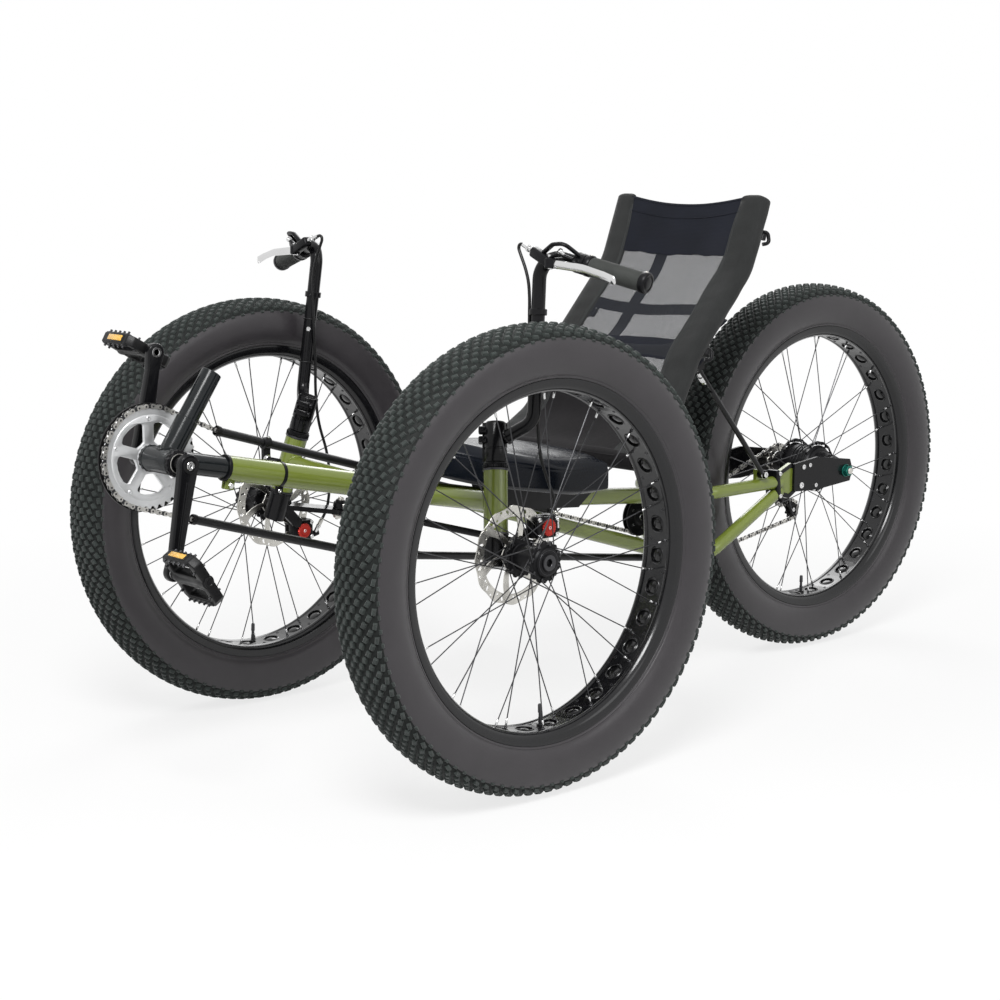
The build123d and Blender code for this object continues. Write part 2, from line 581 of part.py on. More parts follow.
def make_rear_frame(spines):
    """Stays each side of the rear tyre, their yoke, and a bolted dropout plate."""
    x = DROPOUT_X
    half_t = END_PLATE_T / 2
    sides = []
    for (_, back_z), heights in ((SPINE_BACK, UPPER_STAY_Z), (LOWER_SPINE_BACK, LOWER_STAY_Z)):
        points = [(0, YOKE_Y - 14, back_z), (x, STAY_BEND_Y, heights[0]),
                  (x, STAY_BACK_Y, heights[1])]
        sides.append(bent(points, [40], STAY_R))
    end_plate = plate([(WHEELBASE + y, z) for y, z in END_PLATE], x - half_t, x + half_t)
    _, foot_y, foot_z = STRUT_FOOT
    lug = block((x - half_t, x + half_t), (foot_y - 9, foot_y + 9), (UPPER_STAY_Z[0], foot_z + 9))
    stays = sides[0] + sides[1] + end_plate + lug
    stays = stays & block((0, WHEELBASE), (0, WHEELBASE), (-TYRE_R, TYRE_R))
    stays = stays - spines
    save("left_stays", stays)
    save("right_stays", other_side(stays))
    y = WHEELBASE
    inner, outer = x + half_t + GAP, x + half_t + DROPOUT_T
    drop = plate([(y + dy, z) for dy, z in DROPOUT], inner, outer)
    drop -= disc(inner - 1, outer + 1, REAR_AXLE_R + 0.2, y, 0)
    save("left_dropout", drop)
    hanger = plate([(y + 6, -15), (y + 22, -15), (GUIDE[0] + 12, GUIDE[1] - 12),
                    (GUIDE[0] - 12, GUIDE[1] - 12), (y - 14, -15)], inner, outer)
    save("right_dropout", other_side(drop + hanger))
    axle = rod((-x - 22, y, 0), (x + 22, y, 0), REAR_AXLE_R)
    nut = disc(outer + GAP, x + 24, 12, y, 0)
    left_washer = disc(REAR_WASHER_X, x + half_t, 12, y, 0)
    right_washer = disc(-x - half_t, CHAIN_BACK_X - 2 - GAP, 12, y, 0)
    save("rear_axle", axle + nut + other_side(nut) + left_washer + right_washer)


# ---------------------------------------------------------------- cranks and pedals
def at_crank(x, angle, reach):
    a = math.radians(angle)
    return (x, BB_Y + reach * math.cos(a), BB_Z - reach * math.sin(a))


def crank_arm(side, angle):
    """A straight arm with a boss at the spindle and the pedal's pin at its end."""
    inner, outer = side * ARM_INNER_X, side * (ARM_INNER_X + ARM_T)
    low, high = sorted((inner, outer))
    hub, end = at_crank(0, angle, 0), at_crank(0, angle, CRANK_LENGTH)
    boss = disc(low, high, 17, hub[1], hub[2]) + disc(low, high, 13, end[1], end[2])
    bar = block((low, high), (BB_Y, BB_Y + CRANK_LENGTH), (BB_Z - ARM_W / 2, BB_Z + ARM_W / 2))
    bar = Pos(0, BB_Y, BB_Z) * Rot(-angle, 0, 0) * Pos(0, -BB_Y, -BB_Z) * bar
    pin = rod((outer, end[1], end[2]), (outer + side * (PEDAL_LENGTH - 12), end[1], end[2]),
              PEDAL_PIN_R)
    return boss + bar + pin


def pedal(side, angle, tilt):
    """Cage pedal: two rails, end plates and a sleeve that turns on the pin."""
    x_in = side * (ARM_INNER_X + ARM_T + 5)
    x_out = x_in + side * (PEDAL_LENGTH - 8)
    low, high = sorted((x_in, x_out))
    _, y, z = at_crank(0, angle, CRANK_LENGTH)
    sleeve = rod((low, y, z), (high, y, z), 9)
    half_w, half_t = PEDAL_WIDTH / 2, PEDAL_T / 2
    cage = block((low, high), (-half_w, half_w), (-half_t, half_t))
    for way in (-1, 1):
        middle = way * half_w / 2
        cage -= block((low + 12, high - 12), (middle - 12, middle + 12), (-30, 30))
    cage = Pos(0, y, z) * Rot(tilt, 0, 0) * cage
    return cage + sleeve - rod((low - 5, y, z), (high - 4 if side > 0 else high + 5, y, z),
                               PEDAL_PIN_R + GAP)


def make_cranks():
    left_angle, right_angle = CRANK_ANGLE, CRANK_ANGLE + 180
    spindle = rod((-ARM_INNER_X, BB_Y, BB_Z), (ARM_INNER_X, BB_Y, BB_Z), SPINDLE_R)
    save("left_crank_arm", crank_arm(1, left_angle) + spindle)
    save("right_crank_arm", crank_arm(-1, right_angle))
    ring_r = CHAIN_PITCH_R - CHAIN_H / 2 - CHAIN_GAP
    x = RING_X
    ring = disc(x - RING_T / 2, x + RING_T / 2, ring_r, BB_Y, BB_Z, ring_r - 18)
    spider = disc(x - 4, x + 2, 24, BB_Y, BB_Z)
    for k in range(5):
        way = at_crank(x, 72 * k + 18, ring_r - 10)
        arm = block((x - 4, x + 2), (0, ring_r - 10), (-9, 9))
        spider += Pos(0, BB_Y, BB_Z) * Rot(-72 * k - 18, 0, 0) * arm
    guard_x = x - CHAIN_W / 2 - 3
    guard = disc(guard_x - 2.5, guard_x, GUARD_R, BB_Y, BB_Z, ring_r - 12)
    guard += disc(guard_x - 1, x, ring_r - 6, BB_Y, BB_Z, ring_r - 12)
    hub = disc(-ARM_INNER_X + GAP, x, 19, BB_Y, BB_Z)
    chainring = ring + spider + guard + hub
    save("chainring", chainring - disc(-80, 0, SPINDLE_R + 0.1, BB_Y, BB_Z))
    save("left_pedal", pedal(1, left_angle, PEDAL_TILT))
    save("right_pedal", pedal(-1, right_angle, RIGHT_PEDAL_TILT))


# ---------------------------------------------------------------- chain
# (y, z, pitch radius, sense): sense 1 where the chain wraps round the wheel or guide inside
# its loop, -1 where a wheel or guide presses on it from outside. The order runs back along
# the upper run and forward along the lower one.
UPPER_BEND = (BB_Y + 140.0, BB_Z + 48.0)
UPPER_BEND_R = 20.0
REAR_BEND = (WHEELBASE - 247.0, 28.0)
REAR_BEND_R = 200.0
MIDDLE_BEND = (70.0, 238.0)
MIDDLE_BEND_R = 300.0
CHAIN_PATH = [
    (BB_Y, BB_Z, CHAIN_PITCH_R, 1),
    (*UPPER_BEND, UPPER_BEND_R, -1),
    (*IDLER, IDLER_R, -1),
    (WHEELBASE, 0.0, SPROCKET_R, 1),
    (*GUIDE, PULLEY_R, -1),
    (*TENSION, PULLEY_R, 1),
    (*REAR_BEND, REAR_BEND_R, 1),
    (*MIDDLE_BEND, MIDDLE_BEND_R, 1),
]
UPPER_TUBE_Y = (BB_Y + 130.0, IDLER[0] - 248.0)
LOWER_TUBE_Y = (BB_Y + 80.0, WHEELBASE - 282.0)


def chain_runs(grow):
    """Each straight run's start and end, with the loop moved outwards by grow."""
    rounds = [(Vector(y, z), (r + s * grow) * s) for y, z, r, s in CHAIN_PATH]
    runs = []
    for k, (c1, r1) in enumerate(rounds):
        c2, r2 = rounds[(k + 1) % len(rounds)]
        way = c2 - c1
        heading = math.atan2(way.Y, way.X) + math.acos((r1 - r2) / way.length)
        normal = Vector(math.cos(heading), math.sin(heading))
        runs.append((c1 + normal * r1, c2 + normal * r2))
    return runs


def chain_outline(grow):
    """The runs and the arcs that join them, as one closed outline."""
    runs = chain_runs(grow)
    edges = []
    for k, (start, end) in enumerate(runs):
        edges.append(Line(start, end))
        y, z, _, sense = CHAIN_PATH[(k + 1) % len(CHAIN_PATH)]
        centre = Vector(y, z)
        after = runs[(k + 1) % len(runs)][0]
        first = math.atan2(end.Y - centre.Y, end.X - centre.X)
        last = math.atan2(after.Y - centre.Y, after.X - centre.X)
        sweep_angle = (sense * (first - last)) % (2 * math.pi)
        middle = first - sense * sweep_angle / 2
        bulge = centre + Vector(math.cos(middle), math.sin(middle)) * (end - centre).length
        edges.append(ThreePointArc(end, bulge, after))
    return edges


def in_chain_plane(shape):
    """Swing a planar piece at x = 0 onto the chain line, which runs outwards to the back."""
    swing = math.degrees(math.atan((RING_X - CHAIN_BACK_X) / (WHEELBASE - BB_Y)))
    return Pos(RING_X, BB_Y, 0) * Rot(0, 0, swing) * Pos(0, -BB_Y, 0) * shape


def on_run(run, y):
    """The point of a straight run at y, at x = 0."""
    start, end = run
    share = (y - start.X) / (end.X - start.X)
    return (0, y, start.Y + share * (end.Y - start.Y))


def run_corner(first, second):
    """Where two straight runs meet, at x = 0."""
    slopes = [(end.Y - start.Y) / (end.X - start.X) for start, end in (first, second)]
    y = (second[0].Y - first[0].Y + slopes[0] * first[0].X - slopes[1] * second[0].X)
    y /= slopes[0] - slopes[1]
    return on_run(first, y)


def pulley(y, z, pitch_r, guard_r, half_w):
    """A grooved wheel under the chain, with a side plate each side of it."""
    groove = disc(-half_w, half_w, pitch_r - CHAIN_H / 2 - GAP, y, z)
    guards = [disc(low, low + 2.5, guard_r, y, z) for low in (half_w, -half_w - 2.5)]
    return groove + guards


def make_chain():
    outer = Plane.YZ * make_face(chain_outline(CHAIN_H / 2))
    inner = Plane.YZ * make_face(chain_outline(-CHAIN_H / 2))
    band = extrude(outer, CHAIN_W / 2, both=True) - extrude(inner, CHAIN_W, both=True)
    save("chain", in_chain_plane(band))

    runs = chain_runs(0)
    upper = [on_run(runs[1], y) for y in UPPER_TUBE_Y]
    upper_tube = tube(*upper, CHAIN_TUBE_R, CHAIN_TUBE_BORE)
    front, back = runs[7], runs[6]
    lower = [on_run(front, LOWER_TUBE_Y[0]), run_corner(front, back), on_run(back, LOWER_TUBE_Y[1])]
    lower_tube = bent(lower, MIDDLE_BEND_R, CHAIN_TUBE_R) - bent(lower, MIDDLE_BEND_R, CHAIN_TUBE_BORE)
    save("upper_chain_tube", in_chain_plane(upper_tube))
    _, y, z = on_run(runs[1], CLIP_Y)
    ring = rod((0, y - CLIP_HALF_W, z), (0, y + CLIP_HALF_W, z), CHAIN_TUBE_R + 2.5)
    clip = ring + strap((y, z), (y, z - CLIP_DROP), CLIP_HALF_W, -3, 3)
    clip -= rod(upper[0], upper[1], CHAIN_TUBE_R + GAP)
    bolt_z = z - CLIP_DROP
    stud = rod((-BOOM_R / 2, y, bolt_z), (RING_X - 10, y, bolt_z), 4.0)
    boom = rod((0, y - 30, boom_z(y - 30)), (0, y + 30, boom_z(y + 30)), BOOM_R)
    save("chain_tube_clip", in_chain_plane(clip) + (stud - boom))
    save("lower_chain_tube", in_chain_plane(lower_tube))

    side = CHAIN_W / 2 + GAP
    wheel = in_chain_plane(pulley(*IDLER, IDLER_R, IDLER_R + CHAIN_H / 2, side))
    axle = rod((-4 - GAP, *IDLER), (IDLER_X, *IDLER), 6.0)
    save("idler", wheel + axle)

    cage = pulley(*GUIDE, PULLEY_R, PULLEY_R - 3, side)
    cage += pulley(*TENSION, PULLEY_R, PULLEY_R - 3, side)
    for low in (side + 2.5, -side - 4.5):
        cage += strap(GUIDE, TENSION, 9.0, low, low + 2)
    pivot = rod((CHAIN_BACK_X, *GUIDE), (-DROPOUT_X - 4, *GUIDE), 5.0)
    save("chain_tensioner", in_chain_plane(cage) + pivot)


# ---------------------------------------------------------------- seat
def make_seat(spines):
    line = [(0, y, z) for y, z in SLING_LINE]
    path = FilletPolyline(*line, radius=SLING_BENDS)
    section = Plane(path @ 0, x_dir=(1, 0, 0), z_dir=path % 0) * Rectangle(2 * SEAT_HALF_W, SLING_T)
    save("seat_sling", sweep(section, path))

    dy, dz = SEAT_TUBE_SHIFT
    x = SEAT_HALF_W - SEAT_TUBE_R
    side = [(x, y + dy, z + dz) for y, z in SLING_LINE]
    frame = bent(side, SLING_BENDS, SEAT_TUBE_R)
    frame += other_side(frame)
    foot, top = side[0], side[-1]
    bars = [(foot[1], foot[2], SEAT_TUBE_R), (*SEAT_BAR, 8.0), (top[1] - 4, top[2] - 14, 8.0)]
    for y, z, r in bars:
        frame += rod((-x, y, z), (x, y, z), r)
    _, y, z = STRUT_HEAD
    ear = plate([(SEAT_BAR[0], SEAT_BAR[1] + 6), (SEAT_BAR[0] - 4, SEAT_BAR[1] - 6),
                 (y - 6, z - 8), (y + 8, z - 6), (y + 8, z + 6)], x - 6, x - 1)
    frame += ear + other_side(ear)
    save("seat_frame", frame)

    upper = [(y, z + CUSHION_T) for y, z in reversed(CUSHION_UNDER)]
    save("seat_cushion", plate(CUSHION_UNDER + upper, -CUSHION_HALF_W, CUSHION_HALF_W))

    low = SEAT_BOX_BOTTOM_Z
    box_front, box_back = SEAT_BOX_Y
    back_z = CUSHION_UNDER[-1][1]
    seats = [(y, z - GAP) for y, z in CUSHION_UNDER if y > box_front]
    sides = [(box_front, cushion_under(box_front) - GAP)] + seats + [
        (box_back - 10, back_z - GAP), (box_back, low + 30), (box_back - 40, low),
        (box_front + 16, low + 14)]
    box = plate(sides, -SEAT_BOX_HALF_W, SEAT_BOX_HALF_W)
    for way in (-1, 1):
        saddle_x = sorted((way * 18, way * 26))
        box += block(saddle_x, (foot[1] - 12, foot[1] + 12), (back_z - 10, foot[2]))
    box -= rod((-60, foot[1], foot[2]), (60, foot[1], foot[2]), SEAT_TUBE_R + GAP)
    save("seat_box", box - spines)

    head_x = x - 6 - GAP
    struts = rod(STRUT_FOOT, between(STRUT_FOOT, STRUT_HEAD, 0.78), STRUT_R)
    struts += rod(STRUT_FOOT, (head_x - 5, *STRUT_HEAD[1:]), STRUT_R - 2)
    struts += rod((head_x - 12, *STRUT_HEAD[1:]), (head_x, *STRUT_HEAD[1:]), 7.0)
    eye = STRUT_FOOT[1:]
    struts += rod((DROPOUT_X + 4 + GAP, *eye), (STRUT_FOOT[0] + 5, *eye), 8.0)
    save("seat_struts", Compound(children=[struts, other_side(struts)]))


make_wheels()
make_knuckles()
spine_solids = make_frame()
make_boom_slider()
make_rear_frame(spine_solids)
make_cranks()
make_chain()
make_seat(spine_solids)
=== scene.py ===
from math import acos, atan, atan2, copysign, cos, degrees, exp, hypot, pi, radians, sin, sqrt, tan

import bmesh
import bpy
import numpy as np
from mathutils import Matrix, Vector

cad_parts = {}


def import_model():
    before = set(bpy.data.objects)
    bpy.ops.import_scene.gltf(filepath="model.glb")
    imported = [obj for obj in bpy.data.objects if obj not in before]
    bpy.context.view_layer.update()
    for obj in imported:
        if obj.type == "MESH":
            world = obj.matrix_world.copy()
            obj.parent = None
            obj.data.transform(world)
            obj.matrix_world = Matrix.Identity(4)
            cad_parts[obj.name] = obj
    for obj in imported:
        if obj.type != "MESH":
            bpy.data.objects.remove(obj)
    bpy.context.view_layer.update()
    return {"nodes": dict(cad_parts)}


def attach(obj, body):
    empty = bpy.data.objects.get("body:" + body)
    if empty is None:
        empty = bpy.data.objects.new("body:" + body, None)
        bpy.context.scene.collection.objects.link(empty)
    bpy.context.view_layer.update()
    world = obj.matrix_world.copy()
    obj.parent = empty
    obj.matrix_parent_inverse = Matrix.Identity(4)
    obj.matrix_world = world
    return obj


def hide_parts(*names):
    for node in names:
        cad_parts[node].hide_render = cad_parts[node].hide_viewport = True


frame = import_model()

# Everything is modelled in millimetres with y = 0 at the front axle line, z = 0 at the floor
# and +x on the trike's left, as in the CAD source, and moved to the row's frame by world().
ORIGIN_Y = 475.75
TAU = 2 * pi
TO_METRES = 0.001


# ------------------------------------------------------------------ shapes
def world(points):
    """Model points in the row's frame."""
    moved = np.array(points, float).reshape(-1, 3)
    moved[:, 1] -= ORIGIN_Y
    return moved * TO_METRES


class Shape:
    """Vertices, faces and a material number for each face, in millimetres."""

    def __init__(self, verts, faces, mats=0):
        self.verts = np.array(verts, float).reshape(-1, 3)
        self.faces = [tuple(int(i) for i in f) for f in faces]
        self.mats = [mats] * len(self.faces) if isinstance(mats, int) else list(mats)

    def __add__(self, other):
        return join([self, other])

    def moved(self, matrix):
        m = np.array(matrix, float)
        verts = self.verts @ m[:3, :3].T + m[:3, 3]
        faces = self.faces if np.linalg.det(m[:3, :3]) > 0 else [f[::-1] for f in self.faces]
        return Shape(verts, faces, self.mats)

    def stood(self, at, way, up=(0, 0, 1)):
        """Moved so that its X axis starts at the point at and runs along way."""
        return self.moved(frame_at(at, way, up))

    def both_sides(self):
        """Itself and its mirror copy."""
        return self + self.moved(MIRROR)

    def painted(self, number):
        return Shape(self.verts, self.faces, number)


def join(shapes):
    """One shape of many, in their order."""
    verts, faces, mats, start = [], [], [], 0
    for s in shapes:
        verts.append(s.verts)
        faces += [tuple(i + start for i in f) for f in s.faces]
        mats += s.mats
        start += len(s.verts)
    return Shape(np.concatenate(verts), faces, mats)


def shift(x, y, z):
    """The matrix of a move."""
    return Matrix.Translation((x, y, z))


def turn(angle, axis="X"):
    """The matrix of a turn by degrees."""
    return Matrix.Rotation(radians(angle), 4, axis)


MIRROR = Matrix.Scale(-1, 4, (1, 0, 0))
XY_TO_YZ = Matrix(((0, 0, 1, 0), (1, 0, 0, 0), (0, 1, 0, 0), (0, 0, 0, 1)))


def frame_at(origin, way, up=(0, 0, 1)):
    """A matrix that puts local X along way and local Z near up."""
    x = Vector(way).normalized()
    y = Vector(up).cross(x)
    if y.length < 1e-6:
        y = Vector((0, 1, 0)).cross(x)
    y.normalize()
    m = Matrix((x, y, x.cross(y))).transposed().to_4x4()
    return Matrix.Translation(Vector(origin)) @ m


def bands(rows, n, loop=True):
    """Quads between rows of n vertices each; loop joins the ends of every row."""
    return [(k * n + i, k * n + (i + 1) % n, (k + 1) * n + (i + 1) % n, (k + 1) * n + i)
            for k in range(rows - 1) for i in range(n if loop else n - 1)]


def lathe(profile, n, closed=False, mats=0):
    """(s, r) pairs turned about the X axis. A point with r = 0 is one vertex."""
    angles = np.linspace(0, TAU, n, endpoint=False)
    verts, rings = [], []
    for s, r in profile:
        if r < 1e-6:
            rings.append([len(verts)] * n)
            verts.append((s, 0, 0))
        else:
            rings.append(list(range(len(verts), len(verts) + n)))
            verts += [(s, r * cos(a), r * sin(a)) for a in angles]
    pairs = list(zip(rings, rings[1:])) + ([(rings[-1], rings[0])] if closed else [])
    faces, face_mats = [], []
    for p, (a, b) in enumerate(pairs):
        number = mats if isinstance(mats, int) else mats[p]
        for i in range(n):
            j = (i + 1) % n
            corners = list(dict.fromkeys((a[i], a[j], b[j], b[i])))
            if len(corners) > 2:
                faces.append(corners)
                face_mats.append(number)
    return Shape(verts, faces, face_mats)


def rounded(points, bend, step):
    """Straight runs joined by arcs with a point every step degrees; bend: a radius or a list."""
    pts = [Vector(p) for p in points]
    bends = bend if isinstance(bend, (list, tuple)) else [bend] * (len(pts) - 2)
    out = [pts[0]]
    for k in range(1, len(pts) - 1):
        a = (pts[k - 1] - pts[k]).normalized()
        b = (pts[k + 1] - pts[k]).normalized()
        half = a.angle(b) / 2
        centre = pts[k] + (a + b).normalized() * bends[k - 1] / sin(half)
        back = bends[k - 1] / tan(half)
        first, last = pts[k] + a * back - centre, pts[k] + b * back - centre
        count = max(2, int(degrees(first.angle(last)) / step))
        turned = [first.normalized().slerp(last.normalized(), i / count) for i in range(count + 1)]
        out += [centre + way * bends[k - 1] for way in turned]
    return out + [pts[-1]]


def pipe(path, radius, n=12, caps=True, flat=None):
    """A tube along points, its radius one number or one for each point.

    flat is a direction across it and the share that its thickness square to that keeps.
    """
    pts = [Vector(p) for p in path]
    radii = radius if isinstance(radius, (list, tuple, np.ndarray)) else [radius] * len(pts)
    ways = [(pts[min(i + 1, len(pts) - 1)] - pts[max(i - 1, 0)]).normalized()
            for i in range(len(pts))]
    side = ways[0].orthogonal().normalized() if flat is None else Vector(flat[0]).normalized()
    squeeze = 1.0 if flat is None else flat[1]
    verts = []
    for p, way, r in zip(pts, ways, radii):
        side = (side - way * side.dot(way)).normalized()
        other = way.cross(side)
        for i in range(n):
            a = TAU * i / n
            verts.append(p + side * (r * cos(a)) + other * (r * squeeze * sin(a)))
    faces = bands(len(pts), n)
    if caps:
        faces += [tuple(range(n))[::-1], tuple(range((len(pts) - 1) * n, len(pts) * n))]
    return Shape(verts, faces)


def rod(start, end, radius, n, chamfer=0.0):
    """A round bar between two points, with chamfered ends."""
    start, end = Vector(start), Vector(end)
    length = (end - start).length
    profile = [(0, 0), (0, radius), (length, radius), (length, 0)]
    if chamfer:
        slim = radius - chamfer
        profile[1:3] = [(0, slim), (chamfer, radius), (length - chamfer, radius), (length, slim)]
    return lathe(profile, n).stood(start, end - start)


def from_bmesh(bm):
    """The shape of a bmesh, which is freed."""
    bm.verts.index_update()
    shape = Shape([v.co for v in bm.verts], [[v.index for v in f.verts] for f in bm.faces])
    bm.free()
    return shape


def brick(size, bevel, segments):
    """A box about the origin with rounded edges."""
    bm = bmesh.new()
    bmesh.ops.create_cube(bm, size=1.0)
    bmesh.ops.scale(bm, vec=size, verts=bm.verts)
    bmesh.ops.bevel(bm, geom=bm.edges[:], offset=bevel, segments=segments, affect="EDGES",
                    profile=0.5)
    return from_bmesh(bm)


def plate(outlines, thick, bevel, soft=0):
    """A flat plate about z = 0 from closed (x, y) outlines; those inside others are holes.

    Its edges are bevelled; soft is how many more steps round them off.
    """
    curve = bpy.data.curves.new("plate", "CURVE")
    curve.dimensions, curve.fill_mode = "2D", "BOTH"
    for outline in outlines:
        spline = curve.splines.new("POLY")
        spline.points.add(len(outline) - 1)
        for point, (x, y) in zip(spline.points, outline):
            point.co = (x, y, 0, 1)
        spline.use_cyclic_u = True
    curve.extrude, curve.bevel_depth = thick / 2 - bevel, bevel
    curve.bevel_resolution, curve.offset = soft, -bevel
    holder = bpy.data.objects.new("plate", curve)
    mesh = bpy.data.meshes.new_from_object(holder)
    bm = bmesh.new()
    bm.from_mesh(mesh)
    bmesh.ops.remove_doubles(bm, verts=bm.verts, dist=0.01)
    bpy.data.objects.remove(holder)
    bpy.data.curves.remove(curve)
    bpy.data.meshes.remove(mesh)
    return from_bmesh(bm)


def circle(r, n, x=0.0, y=0.0):
    """A closed 2D outline of n points about (x, y)."""
    return [(x + r * cos(TAU * i / n), y + r * sin(TAU * i / n)) for i in range(n)]


def bolt(at, way, r, h, number=0, n=16):
    """A socket head screw whose head stands up from the point along way."""
    profile = [(0, 0), (0, r), (h - 0.5, r), (h, r - 0.5), (h, r * 0.55), (h * 0.5, r * 0.5),
               (h * 0.45, 0)]
    return lathe(profile, n).painted(number).stood(at, way)


def hex_nut(at, way, r, h):
    """A chamfered nut of material 1 that stands up from the point along way."""
    return lathe([(0, 0), (0, r), (h - 0.6, r), (h, r - 0.8), (h, 0)], 6).painted(1).stood(at, way)


def torus(r, thick, n, m):
    """A ring of round section about the X axis, n points round it and m round its section."""
    return lathe([(thick * sin(TAU * i / m), r + thick * cos(TAU * i / m))
                  for i in range(m)], n, closed=True)


def placed(name, data):
    """A new object in the scene."""
    obj = bpy.data.objects.new(name, data)
    bpy.context.scene.collection.objects.link(obj)
    return obj


def piece(name, shape, body, materials, replaces="", sharp=35.0):
    """Make the object, in place, riding on its body; materials are their keys in M."""
    mesh = bpy.data.meshes.new(name)
    mesh.from_pydata(world(shape.verts).tolist(), [], shape.faces)
    for key in materials.split():
        mesh.materials.append(M[key])
    mesh.polygons.foreach_set("material_index", shape.mats)
    mesh.polygons.foreach_set("use_smooth", [True] * len(mesh.polygons))
    mesh.validate()
    mesh.set_sharp_from_angle(angle=radians(sharp))
    obj = placed(name, mesh)
    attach(obj, body)
    if replaces:
        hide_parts(replaces)
    return obj


# ------------------------------------------------------------------ materials
def tone(r, g, b):
    """An 8-bit screen colour as linear RGBA."""
    return [((c / 255 + 0.055) / 1.055) ** 2.4 if c > 10 else c / 255 / 12.92
            for c in (r, g, b)] + [1.0]


class Nodes:
    """Adds nodes to the node tree of a world or a material, and links them."""

    def __init__(self, owner):
        owner.use_nodes = True
        self.tree = owner.node_tree

    def add(self, kind, **values):
        """A node with settings, or inputs, of these names (a space is written as _)."""
        node = self.tree.nodes.new(kind)
        for key, value in values.items():
            if hasattr(node, key):
                setattr(node, key, value)
            else:
                node.inputs[key.replace("_", " ")].default_value = value
        return node

    def link(self, a, b):
        self.tree.links.new(a, b)

    def math(self, operation, a, b):
        """Each of a and b is an output or a number."""
        node = self.add("ShaderNodeMath", operation=operation)
        for socket, value in zip(node.inputs, (a, b)):
            if isinstance(value, float):
                socket.default_value = value
            else:
                self.link(value, socket)
        return node.outputs["Value"]

    def mix(self, share, first, second):
        """The first shader where share is 0, the second where it is 1."""
        node = self.add("ShaderNodeMixShader")
        for socket, source in zip(node.inputs, (share, first, second)):
            self.link(source, socket)
        return node.outputs[0]

    def seen_directly(self):
        """1 for rays that show the backdrop: camera, glossy and transmission rays."""
        rays = self.add("ShaderNodeLightPath").outputs
        first = self.math("MAXIMUM", rays["Is Camera Ray"], rays["Is Glossy Ray"])
        return self.math("MAXIMUM", first, rays["Is Transmission Ray"])


class Paint(Nodes):
    """One material, built on its Principled BSDF."""

    def __init__(self, name, **values):
        self.mat = bpy.data.materials.new(name)
        super().__init__(self.mat)
        self.bsdf = self.tree.nodes["Principled BSDF"]
        self.coords = self.add("ShaderNodeTexCoord").outputs["Object"]
        for key, value in values.items():
            self.bsdf.inputs[key.replace("_", " ")].default_value = value

    def noise(self, scale, detail):
        node = self.add("ShaderNodeTexNoise", Scale=scale, Detail=detail, Roughness=0.55)
        self.link(self.coords, node.inputs["Vector"])
        return node.outputs["Fac"]

    def color_by(self, fac, *stops):
        """Base colour that follows fac through (place, colour) stops."""
        node = self.add("ShaderNodeValToRGB")
        for element, (place, color) in zip(node.color_ramp.elements, stops):
            element.position, element.color = place, color
        self.link(fac, node.inputs["Fac"])
        self.link(node.outputs["Color"], self.bsdf.inputs["Base Color"])

    def spread(self, fac, low, high, source=(0.3, 0.7)):
        """fac with its source range mapped to low and high."""
        node = self.add("ShaderNodeMapRange", From_Min=source[0], From_Max=source[1],
                        To_Min=low, To_Max=high)
        self.link(fac, node.inputs["Value"])
        return node.outputs["Result"]

    def bump(self, height, distance, strength=0.5):
        node = self.add("ShaderNodeBump", Strength=strength, Distance=distance)
        self.link(height, node.inputs["Height"])
        self.link(node.outputs["Normal"], self.bsdf.inputs["Normal"])


def scaled(color, factor):
    """A colour made lighter or darker, with no channel over 1."""
    return [min(1.0, c * factor) for c in color[:3]] + [1.0]


def finish_of(name, color, rough, metallic=0.0, mottle=0.12, mottle_scale=18.0, bump=None,
              specular=0.5, **extra):
    """A surface with slightly uneven colour and gloss, and a fine texture in its height."""
    p = Paint(name, Metallic=metallic, Specular_IOR_Level=specular, **extra)
    base = tone(*color)
    p.color_by(p.noise(mottle_scale, 5.0), (0.3, scaled(base, 1 - mottle)),
               (0.7, scaled(base, 1 + mottle)))
    p.link(p.spread(p.noise(mottle_scale * 4.3, 3.0), *rough), p.bsdf.inputs["Roughness"])
    if bump:
        scale, height = bump
        p.bump(p.noise(scale, 3.0), height)
    return p.mat


